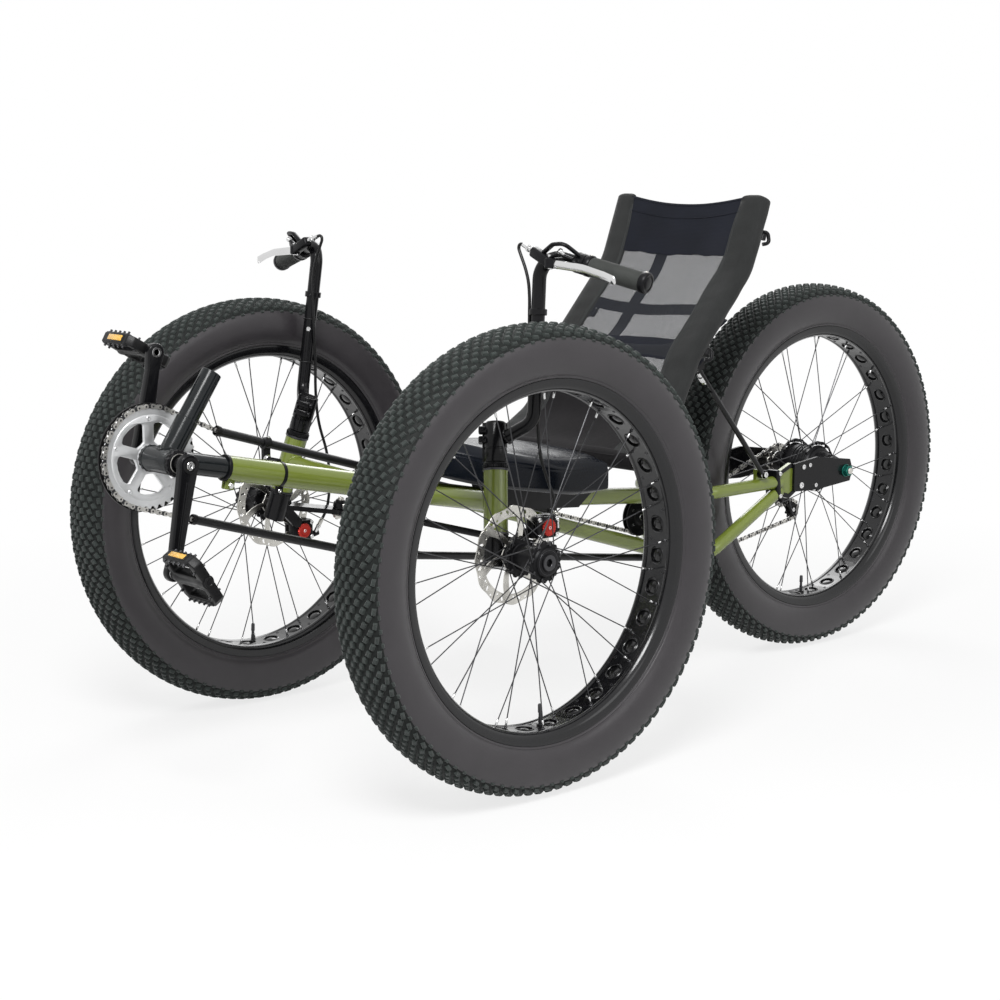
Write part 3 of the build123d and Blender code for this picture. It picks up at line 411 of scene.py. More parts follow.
M = {
    "green": finish_of("green_paint", (110, 123, 47), rough=(0.2, 0.27), mottle=0.04,
                       mottle_scale=6.0, Coat_Weight=0.3, Coat_Roughness=0.06),
    "black": finish_of("black_paint", (14, 14, 16), rough=(0.16, 0.24), bump=(300.0, 0.00003),
                       specular=0.2),
    "slate": finish_of("slate_gloss", (17, 21, 23), rough=(0.14, 0.22), mottle=0.06,
                       specular=0.32),
    "anodised": finish_of("black_anodised", (20, 20, 22), metallic=0.3, rough=(0.3, 0.45),
                          bump=(500.0, 0.00003), specular=0.2),
    # inside of the post's bore, painted darker and duller than the post as the shade in the hole
    "bore": finish_of("bore_painted_shade", (12, 12, 13), rough=(0.6, 0.8), specular=0.2),
    "rim": finish_of("rim_black", (16, 16, 18), metallic=0.2, rough=(0.14, 0.26),
                     bump=(240.0, 0.00004), specular=0.4, Coat_Weight=0.2,
                     Coat_Roughness=0.06),
    "tape": finish_of("rim_tape", (14, 14, 15), rough=(0.14, 0.24), bump=(90.0, 0.0006)),
    "steel": finish_of("brushed_steel", (206, 204, 198), metallic=1.0, rough=(0.22, 0.36),
                       mottle=0.1, bump=(700.0, 0.00006)),
    "dark_steel": finish_of("dark_steel", (70, 70, 72), metallic=0.9, rough=(0.3, 0.42)),
    "chain": finish_of("chain_steel", (196, 194, 189), metallic=0.9, rough=(0.25, 0.42),
                       mottle=0.25, mottle_scale=120.0),
    "alloy": finish_of("cast_alloy", (216, 217, 218), metallic=0.72, rough=(0.28, 0.4),
                       mottle=0.05, bump=(420.0, 0.00006)),
    "chrome": finish_of("polished_alloy", (214, 214, 214), metallic=1.0, rough=(0.1, 0.2),
                        mottle=0.04),
    "red": finish_of("red_anodised", (176, 44, 34), metallic=0.6, rough=(0.28, 0.4)),
    "teal": finish_of("teal_anodised", (18, 104, 92), metallic=0.6, rough=(0.24, 0.36)),
    "plastic": finish_of("black_plastic", (18, 18, 19), rough=(0.34, 0.48),
                         bump=(600.0, 0.00008), specular=0.22),
    "tubing": finish_of("chain_tubing", (22, 22, 24), rough=(0.3, 0.42), mottle=0.1,
                        bump=(420.0, 0.00006), specular=0.3),
    "housing": finish_of("cable_housing", (15, 15, 16), rough=(0.32, 0.46),
                         bump=(900.0, 0.00005), specular=0.3),
    "grip": finish_of("grip_rubber", (58, 60, 58), rough=(0.55, 0.7), bump=(900.0, 0.0002),
                      specular=0.3),
    "casing": finish_of("tyre_casing", (44, 41, 44), rough=(0.3, 0.4), mottle=0.1,
                        bump=(380.0, 0.0001), specular=0.44, Sheen_Weight=0.1),
    # rubber between the knobs, painted darker than the knobs: painted shade between them
    "tread_floor": finish_of("tyre_tread_gap_shade", (24, 27, 26), rough=(0.6, 0.75), mottle=0.2,
                             mottle_scale=40.0, bump=(500.0, 0.0003), specular=0.2),
    "tread": finish_of("tyre_tread", (42, 48, 46), rough=(0.6, 0.75), mottle=0.24,
                       mottle_scale=40.0, bump=(500.0, 0.0003), specular=0.26,
                       Sheen_Weight=0.15),
    "thread": finish_of("sewing_thread", (52, 54, 54), rough=(0.7, 0.8), bump=(1500.0, 0.0003)),
}


def make_amber():
    """Moulded prism reflector: amber plastic with a painted glint, each prism paler at its middle.
    """
    p = Paint("amber_reflector", Roughness=0.12, Coat_Weight=0.8)
    cells = p.add("ShaderNodeTexVoronoi", Scale=520.0)
    p.link(p.coords, cells.inputs["Vector"])
    # painted glint: each prism's middle pale yellow, fading to amber at its edges
    p.color_by(cells.outputs["Distance"], (0.0, tone(254, 226, 120)), (0.6, tone(224, 164, 36)))
    p.bump(cells.outputs["Distance"], 0.0008)
    return p.mat


def make_woven(name, color, scale, sheen, open_share=0.0):
    """Cloth woven of two crossing sets of threads; open_share leaves holes between them."""
    p = Paint(name, Roughness=0.8, Sheen_Weight=sheen, Specular_IOR_Level=0.2)
    heights = []
    for axis in ("X", "Z"):
        wave = p.add("ShaderNodeTexWave", wave_type="BANDS", bands_direction=axis, Scale=scale,
                     Distortion=0.0)
        p.link(p.coords, wave.inputs["Vector"])
        heights.append(wave.outputs["Fac"])
    threads = p.math("MAXIMUM", *heights)
    base = tone(*color)
    p.color_by(p.noise(14.0, 4.0), (0.3, scaled(base, 0.8)), (0.7, scaled(base, 1.2)))
    p.bump(threads, 0.0006, 0.6)
    if open_share:
        p.link(p.math("GREATER_THAN", threads, open_share), p.bsdf.inputs["Alpha"])
    return p.mat


M["amber"] = make_amber()
M["mesh"] = make_woven("seat_mesh", (34, 36, 42), 240.0, sheen=0.1, open_share=0.44)
M["sleeve"] = make_woven("seat_sleeve", (38, 39, 39), 160.0, sheen=0.12)
M["webbing"] = make_woven("seat_webbing", (17, 20, 30), 130.0, sheen=0.05)
M["backing"] = make_woven("seat_lower_cloth", (20, 18, 20), 170.0, sheen=0.05)
M["vinyl"] = finish_of("cushion_vinyl", (8, 13, 22), rough=(0.22, 0.32), mottle=0.1,
                       mottle_scale=9.0, bump=(700.0, 0.00012), specular=0.2)

# ------------------------------------------------------------------ camera, light and floor
scene = bpy.context.scene
camera_data = bpy.data.cameras.new("camera")
camera_data.lens, camera_data.sensor_width = 71.874, 36.0
camera_data.clip_start, camera_data.clip_end = 0.05, 60.0
scene.camera = placed("camera", camera_data)
# fitted to the photo: the camera's place, and its right, up and back directions
scene.camera.matrix_world = Matrix.Translation((2.650865, -2.531743, 0.977017)) @ Matrix((
    (0.658238, 0.752808, -0.001318), (-0.122842, 0.109137, 0.986407),
    (0.742719, -0.649129, 0.164315))).transposed().to_4x4()
scene.view_settings.view_transform = "Standard"


def lamp(name, place, aim, size, power):
    """A round area lamp that shines at the point aim."""
    data = bpy.data.lights.new(name, "AREA")
    data.shape, data.size, data.energy = "DISK", size, power
    obj = placed(name, data)
    obj.location = place
    obj.rotation_mode = "QUATERNION"
    obj.rotation_quaternion = (Vector(aim) - Vector(place)).to_track_quat("-Z", "Y")


lamp("key", (1.9, -2.3, 3.4), (0, 0, 0.4), 1.7, 160)
lamp("fill", (3.6, 0.6, 2.2), (0, 0, 0.4), 2.2, 20)
lamp("rim_light", (-2.6, 2.4, 2.8), (0, 0, 0.5), 2.4, 60)


def make_world():
    """White where it is seen, and a dimmer white where it only lights."""
    studio = scene.world = bpy.data.worlds.new("studio")
    w = Nodes(studio)
    w.tree.nodes.clear()
    out = w.add("ShaderNodeOutputWorld")
    lit, shown = (w.add("ShaderNodeBackground", Color=(1, 1, 1, 1), Strength=strength).outputs[0]
                  for strength in (0.33, 1.0))
    w.link(w.mix(w.seen_directly(), lit, shown), out.inputs["Surface"])


def make_floor():
    """A pale floor that takes shadows near the trike and turns white further out."""
    mesh = bpy.data.meshes.new("floor")
    half, low = 9.0, -0.0005
    mesh.from_pydata([(-half, -half, low), (half, -half, low), (half, half, low),
                      (-half, half, low)], [], [(0, 1, 2, 3)])
    p = Paint("pale_floor", Base_Color=(0.86, 0.86, 0.86, 1), Roughness=0.9)
    glow = p.add("ShaderNodeEmission", Strength=1.0)
    far = p.add("ShaderNodeVectorMath", operation="LENGTH")
    p.link(p.coords, far.inputs[0])
    fade = p.spread(far.outputs["Value"], 0.78, 1.0, (0.9, 2.2))
    share = p.math("MULTIPLY", p.seen_directly(), fade)
    p.link(p.mix(share, p.bsdf.outputs[0], glow.outputs[0]),
           p.tree.nodes["Material Output"].inputs["Surface"])
    mesh.materials.append(p.mat)
    placed("floor", mesh)


make_world()
make_floor()

# ------------------------------------------------------------------ wheels
TYRE_R, RIM_BED = 372.0, 268.0
HALF_TRACK, WHEELBASE = 386.0, 1097.0
SPOKES = 32
RIM_ROW = 16.0                 # the spokes' two rows in the rim, each side of its middle
FRONT_FLANGES, REAR_FLANGES = (17.0, -38.0), (29.0, -29.0)
DISC_X, SPROCKET_X = -56.0, -75.0
# each wheel's local X runs outwards from its middle
WHEELS = {
    "front_left": shift(HALF_TRACK, 0, TYRE_R),
    "front_right": MIRROR @ shift(HALF_TRACK, 0, TYRE_R),
    "rear": shift(0, WHEELBASE, TYRE_R),
}
# the tyre's outer side, from the bead to the middle of the tread
CASING = [(36.2, 283.0), (37.2, 287.2), (39.6, 288.6), (40.6, 290.8), (40.2, 292.0),
          (42.6, 294.0), (46.0, 300.5), (48.8, 309.0), (50.4, 319.0), (50.9, 329.0),
          (50.4, 338.0), (49.3, 345.0), (47.6, 350.4), (44.6, 355.2), (39.5, 359.6),
          (32.0, 363.1), (23.0, 365.6), (12.0, 367.4), (0.0, 368.0)]
WIDEST = 9                     # the outline's point where the tyre is widest
TREAD_LOW = 350.0              # radius from which the tread's rubber covers the casing
TREAD_PITCHES = 104
# rows of knobs in one pitch: place across, share of the pitch, width, length, height, turn
KNOBS = [(0.0, 0.5, 7.4, 9.4, 4.0, 0.0), (9.8, 0.0, 7.2, 8.8, 4.0, 14.0),
         (19.6, 0.5, 7.2, 8.4, 4.0, 20.0), (29.0, 0.0, 7.0, 8.4, 4.0, 26.0),
         (37.2, 0.5, 6.6, 9.0, 4.0, 30.0), (43.8, 0.05, 5.0, 9.6, 3.8, 12.0),
         (47.8, 0.5, 3.6, 6.4, 2.4, 0.0)]


def tyre_casing():
    """Casing with smooth sides; between the knobs (material 2) it is painted darker, as shade."""
    line = CASING + [(-s, r) for s, r in CASING[:-1]][::-1]
    # faces under the tread get material 2: the rubber painted darker as the shade between the knobs
    gap_shade_mats = [2 if min(a[1], b[1]) > TREAD_LOW else 0 for a, b in zip(line, line[1:])]
    return lathe(line, 168, mats=gap_shade_mats)


def tread():
    """Chamfered knobs standing on the casing, in rows that alternate round the tyre."""
    line = np.array(CASING[WIDEST:][::-1])
    faces = bands(3, 4) + [(8, 9, 10, 11)]
    knobs = []
    for s, share, width, length, height, skew in KNOBS:
        for side in ((1, -1) if s else (1,)):
            r, ahead = (float(np.interp(s + step, line[:, 0], line[:, 1])) for step in (0, 0.5))
            slope = atan2(r - ahead, 0.5)
            across = np.array([cos(slope) * side, -sin(slope)])
            normal = np.array([sin(slope) * side, cos(slope)])
            t = radians(skew) * side
            for k in range(TREAD_PITCHES):
                a = TAU * (k + share) / TREAD_PITCHES
                radial, along = np.array([cos(a), sin(a)]), np.array([-sin(a), cos(a)])
                verts = []
                for grow, lift in ((0.9, -0.8), (0.0, height - 1.1), (-1.0, height)):
                    hw, hl = width / 2 + grow, length / 2 + grow
                    for u, v in ((-hw, -hl), (hw, -hl), (hw, hl), (-hw, hl)):
                        u, v = u * cos(t) - v * sin(t), u * sin(t) + v * cos(t)
                        x = s * side + across[0] * u + normal[0] * lift
                        out = r + across[1] * u + normal[1] * lift
                        verts.append((x, *(radial * out + along * v)))
                knobs.append(Shape(verts, [f[::side] for f in faces], 1))
    return join(knobs)


def rim_shape():
    """Wide black rim: a band with round cut-outs, each with a rolled lip, between two sides."""
    sector = pi / SPOKES
    half_u, half_v = 21.0, RIM_BED * sector
    corners = ((1, -1), (1, 1), (-1, 1), (-1, -1), (1, -1))
    per_side = 8
    square = [((u0 + (u1 - u0) * i / per_side) * half_u, (v0 + (v1 - v0) * i / per_side) * half_v)
              for (u0, v0), (u1, v1) in zip(corners, corners[1:]) for i in range(per_side)]
    # radius and lift of each ring round the hole; the first keeps the square
    rings = [(None, 0.0), (15.6, 0.0), (14.6, -0.9), (13.6, -1.1), (12.8, -0.6), (12.6, 0.6),
             (12.6, 2.6)]
    faces = [(a, d, c, b) for a, b, c, d in bands(len(rings), len(square))]
    dome = lathe([(3.4, 0), (3.3, 3.0), (2.7, 6.5), (1.6, 9.6), (-0.4, 12.4)], 20).painted(1)
    band, domes = [], []
    for k in range(SPOKES):
        middle = (2 * k + 1) * sector
        verts = []
        for radius, lift in rings:
            for u, v in square:
                if radius:
                    scale = radius / hypot(u, v)
                    u, v = u * scale, v * scale
                a = middle + v / RIM_BED
                verts.append((u, (RIM_BED + lift) * cos(a), (RIM_BED + lift) * sin(a)))
        band.append(Shape(verts, faces))
        inward = Vector((0, -cos(middle), -sin(middle)))
        domes.append(dome.stood(-inward * 270.8, inward, (1, 0, 0)))
    side = [(21.0, 268.0), (23.0, 267.2), (25.0, 266.6), (28.0, 266.9), (33.0, 269.6),
            (36.6, 273.2), (38.4, 277.0), (38.7, 283.6), (39.3, 285.6), (39.0, 287.2),
            (37.6, 287.4), (36.6, 286.0), (36.2, 280.0), (35.2, 273.4), (31.0, 271.4),
            (21.0, 270.6)]
    bed = lathe([(21.0, 270.6), (14.0, 270.9), (-14.0, 270.9), (-21.0, 270.6)], SPOKES * 4)
    return join(band + [lathe(side, SPOKES * 6).both_sides(), bed.painted(1)] + domes)


def spoke_set(flanges, hole_r, lean):
    """J-bend spokes with nipples, and an empty eyelet beside each in the rim's other row.

    flanges are two places along the axle, and lean is how far a spoke's two ends lie apart
    round it, in degrees.
    """
    step = TAU / SPOKES
    seat = lathe([(-0.4, 0), (-0.4, 3.6), (0.7, 2.9), (1.2, 2.0)], 12)
    eyelet = lathe([(-0.4, 3.2), (0.6, 2.9), (0.6, 1.9), (-0.2, 1.6), (-0.3, 0)], 12)
    wires, nipples = [], []
    for k in range(SPOKES):
        s = flanges[k % 2]
        way = 1 if (k // 2) % 2 else -1
        side = copysign(1, s - sum(flanges) / 2)
        rim_a, hub_a = k * step, k * step + way * radians(lean)
        hub = Vector((s, hole_r * cos(hub_a), hole_r * sin(hub_a)))
        rim = Vector((side * RIM_ROW + way * 0.6, RIM_BED * cos(rim_a), RIM_BED * sin(rim_a)))
        elbow = hub + Vector((way * 4.4, 0, 0))
        head = hub - Vector((way * 3.8, 0, 0))
        run = rim - elbow
        near_rim = elbow + run * (1 - 6.0 / run.length)
        wires.append(pipe(rounded([head, elbow, near_rim], 2.4, 30.0), 1.0, 6))
        wires.append(rod(head - Vector((way * 0.8, 0, 0)), head, 2.1, 8))
        start = elbow + run * (1 - 14.0 / run.length)
        nipples.append(rod(start, elbow + run * (1 - 1.6 / run.length), 1.9, 8, 0.4))
        inward = Vector((0, -cos(rim_a), -sin(rim_a)))
        spare = Vector((-side * RIM_ROW, rim.y, rim.z))
        wires += [seat.stood(rim, inward, (1, 0, 0)), eyelet.stood(spare, inward, (1, 0, 0))]
    return join(wires).painted(0) + join(nipples).painted(1)


def valve(angle):
    """Stem with its nut and cap, from the rim towards the axle."""
    inward = Vector((0, -cos(angle), -sin(angle)))
    stem = lathe([(-3, 0), (-3, 3.2), (14, 3.2), (14, 2.6), (22, 2.6), (22, 3.5), (34, 3.3),
                  (36, 2.2), (36, 0)], 14).painted(2)
    nut = lathe([(0, 0), (0, 6.5), (3, 6.5), (4, 5.6), (4, 0)], 6).painted(1)
    return (stem + nut).stood(-inward * RIM_BED, inward, (1, 0, 0))


def scalloped(r, depth, lobes, n=128):
    """A circle whose radius waves by depth, so many times round."""
    return [((r + depth * cos(lobes * TAU * i / n)) * cos(TAU * i / n),
             (r + depth * cos(lobes * TAU * i / n)) * sin(TAU * i / n))
            for i in range(n)]


def facing_x(shape, s=0.0):
    """Lay a plate that was drawn in XY flat across the X axis at s."""
    return shape.moved(shift(s, 0, 0) @ XY_TO_YZ)


def front_hub_shape():
    """Hub shell with two scalloped flanges, rings round its end cap, and the disc's screws."""
    shell = lathe([(-54.6, 11), (-54.6, 21.5), (-49, 22), (-47, 19.5), (-41, 19.5), (-40, 24),
                   (-36, 24), (-34, 21), (-26, 20.4), (2, 20.4), (11, 21.5), (14, 25), (20, 25.5),
                   (22, 23.5), (25.5, 22.5), (27, 19.5), (27.4, 14.5), (29.8, 14.0), (30, 12.6),
                   (28.8, 11.8), (28.8, 6.2), (24.5, 5.8), (24.5, 0)], 48)
    flanges = [facing_x(plate([scalloped(32.4, 1.6, 16)], 6.0, 1.3), s) for s in FRONT_FLANGES]
    ring = torus(23.6, 0.7, 48, 6).moved(shift(20.9, 0, 0))
    mark = torus(19.2, 0.5, 56, 6).moved(shift(26.8, 0, 0)).painted(2)
    mark += lathe([(28.6, 13.0), (29.0, 12.2), (28.2, 6.4), (27.6, 6.0)], 48).moved(
        shift(1.1, 0, 0)).painted(2)
    screws = [bolt((-54.4, 17.0 * cos(a), 17.0 * sin(a)), (-1, 0, 0), 3.2, 2.4, 1, 12)
              for a in np.linspace(0, TAU, 6, endpoint=False) + 0.5]
    return join([shell, ring] + flanges + [mark] + screws)


def rotor_shape():
    """Brake disc with a wavy edge, six swept arms and slots round its band."""
    outer = scalloped(78.7, 1.3, 12, 192)
    windows = []
    for k in range(6):
        a = TAU * k / 6
        steps = np.linspace(0, 1, 7)
        corners = [(25 + 37.5 * f, a + radians(10 + 14 * f)) for f in steps]
        corners += [(62.5, a + radians(24 + 48 * f)) for f in steps]
        corners += [(25 + 37.5 * f, a + radians(52 + 20 * f)) for f in steps[::-1]]
        windows.append([(r * cos(t), r * sin(t)) for r, t in corners])
    slots = []
    for k in range(36):
        a, way = TAU * k / 36, TAU * k / 36 + 0.6
        r, half = ((67.2, 0.4), (71.2, 2.2), (74.6, 0.4))[k % 3]
        ends = []
        for side, start in ((1, way - pi / 2), (-1, way + pi / 2)):
            for t in np.linspace(start, start + pi, 5):
                ends.append((r * cos(a) + side * half * cos(way) + 2.0 * cos(t),
                             r * sin(a) + side * half * sin(way) + 2.0 * sin(t)))
        slots.append(ends)
    disc = plate([outer, circle(12, 24)] + windows + slots, 2.0, 0.25)
    return facing_x(disc, DISC_X)


def rear_hub_shape():
    """Gear hub: a drum between two drilled flanges."""
    holes = [circle(2.1, 8, 47.5 * cos(a), 47.5 * sin(a))
             for a in np.linspace(0, TAU, 16, endpoint=False) + 0.1]
    flange = plate([scalloped(51.4, 0.6, 16)] + holes, 6.0, 1.0)
    drum = lathe([(-71, 8), (-71, 21), (-58, 22.5), (-46, 24), (-42, 34), (-33, 38), (-30, 43.5),
                  (-26, 42.0), (-12, 40.6), (12, 40.6), (26, 42.0), (30, 43.5), (33, 40),
                  (38, 38.5), (41, 33), (50, 31), (56, 26.5), (64, 25.5), (74, 25.5), (78, 24),
                  (80.6, 21), (80.6, 8)], 64)
    grooves = [torus(41.0, 0.9, 64, 6).moved(shift(s, 0, 0)) for s in (-8, 0, 8)]
    fins = [torus(25.8, 1.0, 48, 6).moved(shift(s, 0, 0)) for s in (58, 62, 66, 70)]
    return join([drum] + [facing_x(flange, s) for s in REAR_FLANGES] + grooves + fins)


def toothed(teeth, root, tip, bore):
    """Outlines of a sprocket with round-rooted teeth, and of its bore."""
    flank = ((0.0, 0.0), (0.16, 0.15), (0.32, 0.75), (0.44, 1.0), (0.56, 1.0), (0.68, 0.75),
             (0.84, 0.15))
    outline = []
    for k in range(teeth):
        for f, height in flank:
            a = TAU * (k + f) / teeth
            r = tip if height == 1.0 else root + height * (tip - root)
            outline.append((r * cos(a), r * sin(a)))
    return [outline, circle(bore, 32)]


# (y, z) of each valve in its wheel's plane, which gives its angle
VALVE_SPOTS = {"front_left": (7.0, 126.0), "front_right": (-13.0, 142.0), "rear": (-5.0, 124.0)}


def make_wheels():
    casing, knobs, rim = tyre_casing(), tread(), rim_shape()
    front = {"spokes": spoke_set(FRONT_FLANGES, 28.0, 62.0), "hub": front_hub_shape()}
    rear = {"spokes": spoke_set(REAR_FLANGES, 47.5, 42.0), "hub": rear_hub_shape()}
    disc = rotor_shape()
    for name, place in WHEELS.items():
        body = f"{name}_wheel"
        parts = rear if name == "rear" else front
        piece(f"{name}_tyre_look", (casing + knobs).moved(place), body,
              "casing tread tread_floor", f"{name}_tyre", 40)
        y, z = VALVE_SPOTS[name]
        stem = valve(atan2(z - TYRE_R, y))
        piece(f"{name}_rim_look", (rim + stem).moved(place), body,
              "rim tape dark_steel", f"{name}_rim")
        piece(f"{name}_spokes_look", parts["spokes"].moved(place), body,
              "dark_steel chrome", f"{name}_spokes", 50)
        piece(f"{name}_hub_look", parts["hub"].moved(place), body,
              "anodised chrome dark_steel", f"{name}_hub")
        if name != "rear":
            piece(f"{name}_rotor_look", disc.moved(place), body, "steel",
                  f"{name}_rotor")
    sprocket = facing_x(plate(toothed(16, 29.4, 34.5, 21.0), 3.0, 0.4), SPROCKET_X)
    piece("rear_sprocket_look", sprocket.moved(WHEELS["rear"]), "rear_wheel",
          "steel", "rear_sprocket")


make_wheels()

# ------------------------------------------------------------------ steering
KINGPIN_AT = (302.0, -12.0)            # x and y of the left kingpin's line at axle height
KINGPIN_LEAN = (-0.2326, 0.2016)       # its slope across and along, for each mm of height
KINGPIN_WAY = Vector((*KINGPIN_LEAN, 1.0)).normalized()
HEAD_LOW, HEAD_MIDDLE, HEAD_HIGH = 402, 451, 500       # heights on the head tube
TIE_ROD_END, TIE_ROD_PIN = (270.0, 105.0, 365.0), Vector((-0.228, 0.111, 1.0)).normalized()
# each caliper's middle (y, z), the side its adjuster faces, and its cable's stop and direction
CALIPERS = {"left": ((66.0, 410.0), 1, (317, 105, 415), (9, -4, -31)),
            "right": ((52.0, 318.0), -1, (317, 91, 323), (8, -14, -29))}


def kingpin(z):
    """The point at height z of the left kingpin's line."""
    up = z - TYRE_R
    return Vector((KINGPIN_AT[0] + KINGPIN_LEAN[0] * up, KINGPIN_AT[1] + KINGPIN_LEAN[1] * up, z))


# the left bar's lower bend, upper bend and end
BAR_ELBOW = Vector((314, 58, 578))
BAR_TOP = Vector((297, 87, 846))
BAR_END = Vector((486, 137, 801))
BAR_WAY = (BAR_END - BAR_TOP).normalized()
SIDES = (("left", Matrix.Identity(4)), ("right", MIRROR))


def on_lever(x, y, z):
    """A point of the brake lever, measured from the bar's upper bend."""
    return BAR_TOP + Vector((x, y, z))


def fluted(low, high, r, depth, lobes, bevel):
    """A knurled ring or wheel about the X axis."""
    disc = plate([scalloped(r, depth, lobes, lobes * 6)], high - low, bevel)
    return facing_x(disc, (low + high) / 2)


def weld(start, r, way, thick):
    """A rippled bead round a tube where it meets another."""
    verts = []
    n, m = 72, 8
    for i in range(n):
        a = TAU * i / n
        swell = thick * (1 + 0.12 * cos(24 * a))
        for j in range(m):
            b = TAU * j / m
            rr = r + swell * cos(b)
            verts.append((swell * sin(b), rr * cos(a), rr * sin(a)))
    faces = [[v % (n * m) for v in f] for f in bands(n + 1, m)]
    return Shape(verts, faces).stood(start, way)


def stem_and_bar():
    """Clamp round the steerer with its two bolts, and the bent bar with its collar and ties."""
    clamp = lathe([(0, 14.8), (0, 17.6), (1.2, 18.4), (20, 18.4), (21, 17.4), (22.6, 17.4),
                   (23.6, 18.5), (62, 18.5), (63.4, 17.6), (64, 15.2), (65.6, 14.6), (66.4, 11),
                   (66.4, 5.2), (64, 4.6), (64, 0)], 48)
    # a dull black strip along the clamp's slot: painted shade of the gap
    slot_shade_strip = brick((64, 1.2, 6), 0.3, 1).moved(shift(32.5, 0, 18.2)).painted(2)
    ears = []
    for s in (36.0, 52.0):
        ears += [brick((11, 22, 14), 2.6, 3).moved(shift(s, 0, 20.5)),
                 bolt((s, 11, 22.5), (0, 1, 0), 4.6, 4.0, 1),
                 bolt((s, -11, 22.5), (0, -1, 0), 4.2, 2.4, 1)]
    foot, middle = kingpin(512), kingpin(542)
    shape = join([clamp, slot_shade_strip] + ears).stood(foot, KINGPIN_WAY, (-0.66, -0.75, 0))
    root = middle + (BAR_ELBOW - middle) * 0.26
    shape += pipe(rounded([root, BAR_ELBOW, BAR_TOP, BAR_END], [30, 34], 7.0), 11.1, 28)
    shape += weld(root + (BAR_ELBOW - root).normalized() * 2.5, 11.0, BAR_ELBOW - root, 2.4)
    post_way = (BAR_TOP - BAR_ELBOW).normalized()
    collar = lathe([(-5, 11), (-5, 13.6), (-4, 14.4), (4, 14.4), (5, 13.6), (5, 11)], 32)
    shape += collar.stood(BAR_ELBOW + post_way * 174.0, post_way)
    for up in (112.0, 174.0):
        spot = BAR_ELBOW + post_way * up
        shape += bolt(spot + Vector((-7.9, -7.6, 0)), (-0.72, -0.69, 0), 4.0, 3.0, 3)
    for up in (52.0, 130.0):
        tie = torus(12.4, 1.1, 28, 6).painted(2)
        shape += tie.stood(BAR_ELBOW + post_way * up, post_way)
    return shape


def headset_cup():
    """Lower and upper bearing rings pressed into the head tube."""
    ring = lathe([(-1.5, 15.5), (-1.5, 20.4), (-0.5, 21.0), (1.4, 21.0), (2.2, 20.2), (2.2, 15.5)],
                 48, closed=True).painted(1)
    return (ring.stood(kingpin(HEAD_HIGH), KINGPIN_WAY)
            + ring.stood(kingpin(HEAD_LOW), -KINGPIN_WAY))


def headset_rings():
    """The knurled adjusting ring and washer over the upper bearing, and the lower race."""
    washer = lathe([(8.4, 14.8), (8.4, 19.2), (9.0, 19.6), (10.6, 19.6), (11.2, 19.0),
                    (11.2, 14.8)], 48, closed=True)
    upper = fluted(2.6, 8.4, 20.2, 0.7, 30, 0.8) + washer
    lower = fluted(2.6, 7.0, 19.6, 0.5, 30, 0.8)
    return (upper.stood(kingpin(HEAD_HIGH), KINGPIN_WAY)
            + lower.stood(kingpin(HEAD_LOW), -KINGPIN_WAY))


def grip_shape():
    """Ribbed rubber grip between two clamp rings, with a plug in the bar's end."""
    length = 110.0
    start = BAR_END - BAR_WAY * length
    profile = [(3.0, 11.3), (3.0, 15.0)]
    for k in range(42):
        s = 9.0 + k * 2.3
        profile += [(s, 14.7), (s + 0.5, 15.5), (s + 1.4, 15.5), (s + 1.9, 14.7)]
    profile += [(length - 6, 15.0), (length - 6, 11.3)]
    grip = lathe(profile, 40)
    rings = lathe([(-2.0, 11.3), (-2.0, 16.4), (-1.0, 17.2), (7.0, 17.2), (8.0, 16.4), (8.0, 13)],
                  40).painted(1)
    plug = [(-10, 13), (-10, 16.0), (-9, 16.8), (-0.5, 16.8), (1.0, 16.0), (1.6, 13.6),
            (0.4, 12.4), (0.4, 9.8), (1.6, 9.0), (2.2, 6.0), (2.4, 0)]
    rings += lathe([(length + s, r) for s, r in plug], 40).painted(1)
    screw = bolt((length - 5, 0, 16.6), (0, 0, 1), 2.2, 1.4, 2, 10)
    screw += bolt((3, 0, 17.0), (0, 0, 1), 2.2, 1.4, 2, 10)
    return (grip + rings + screw).stood(start, BAR_WAY)


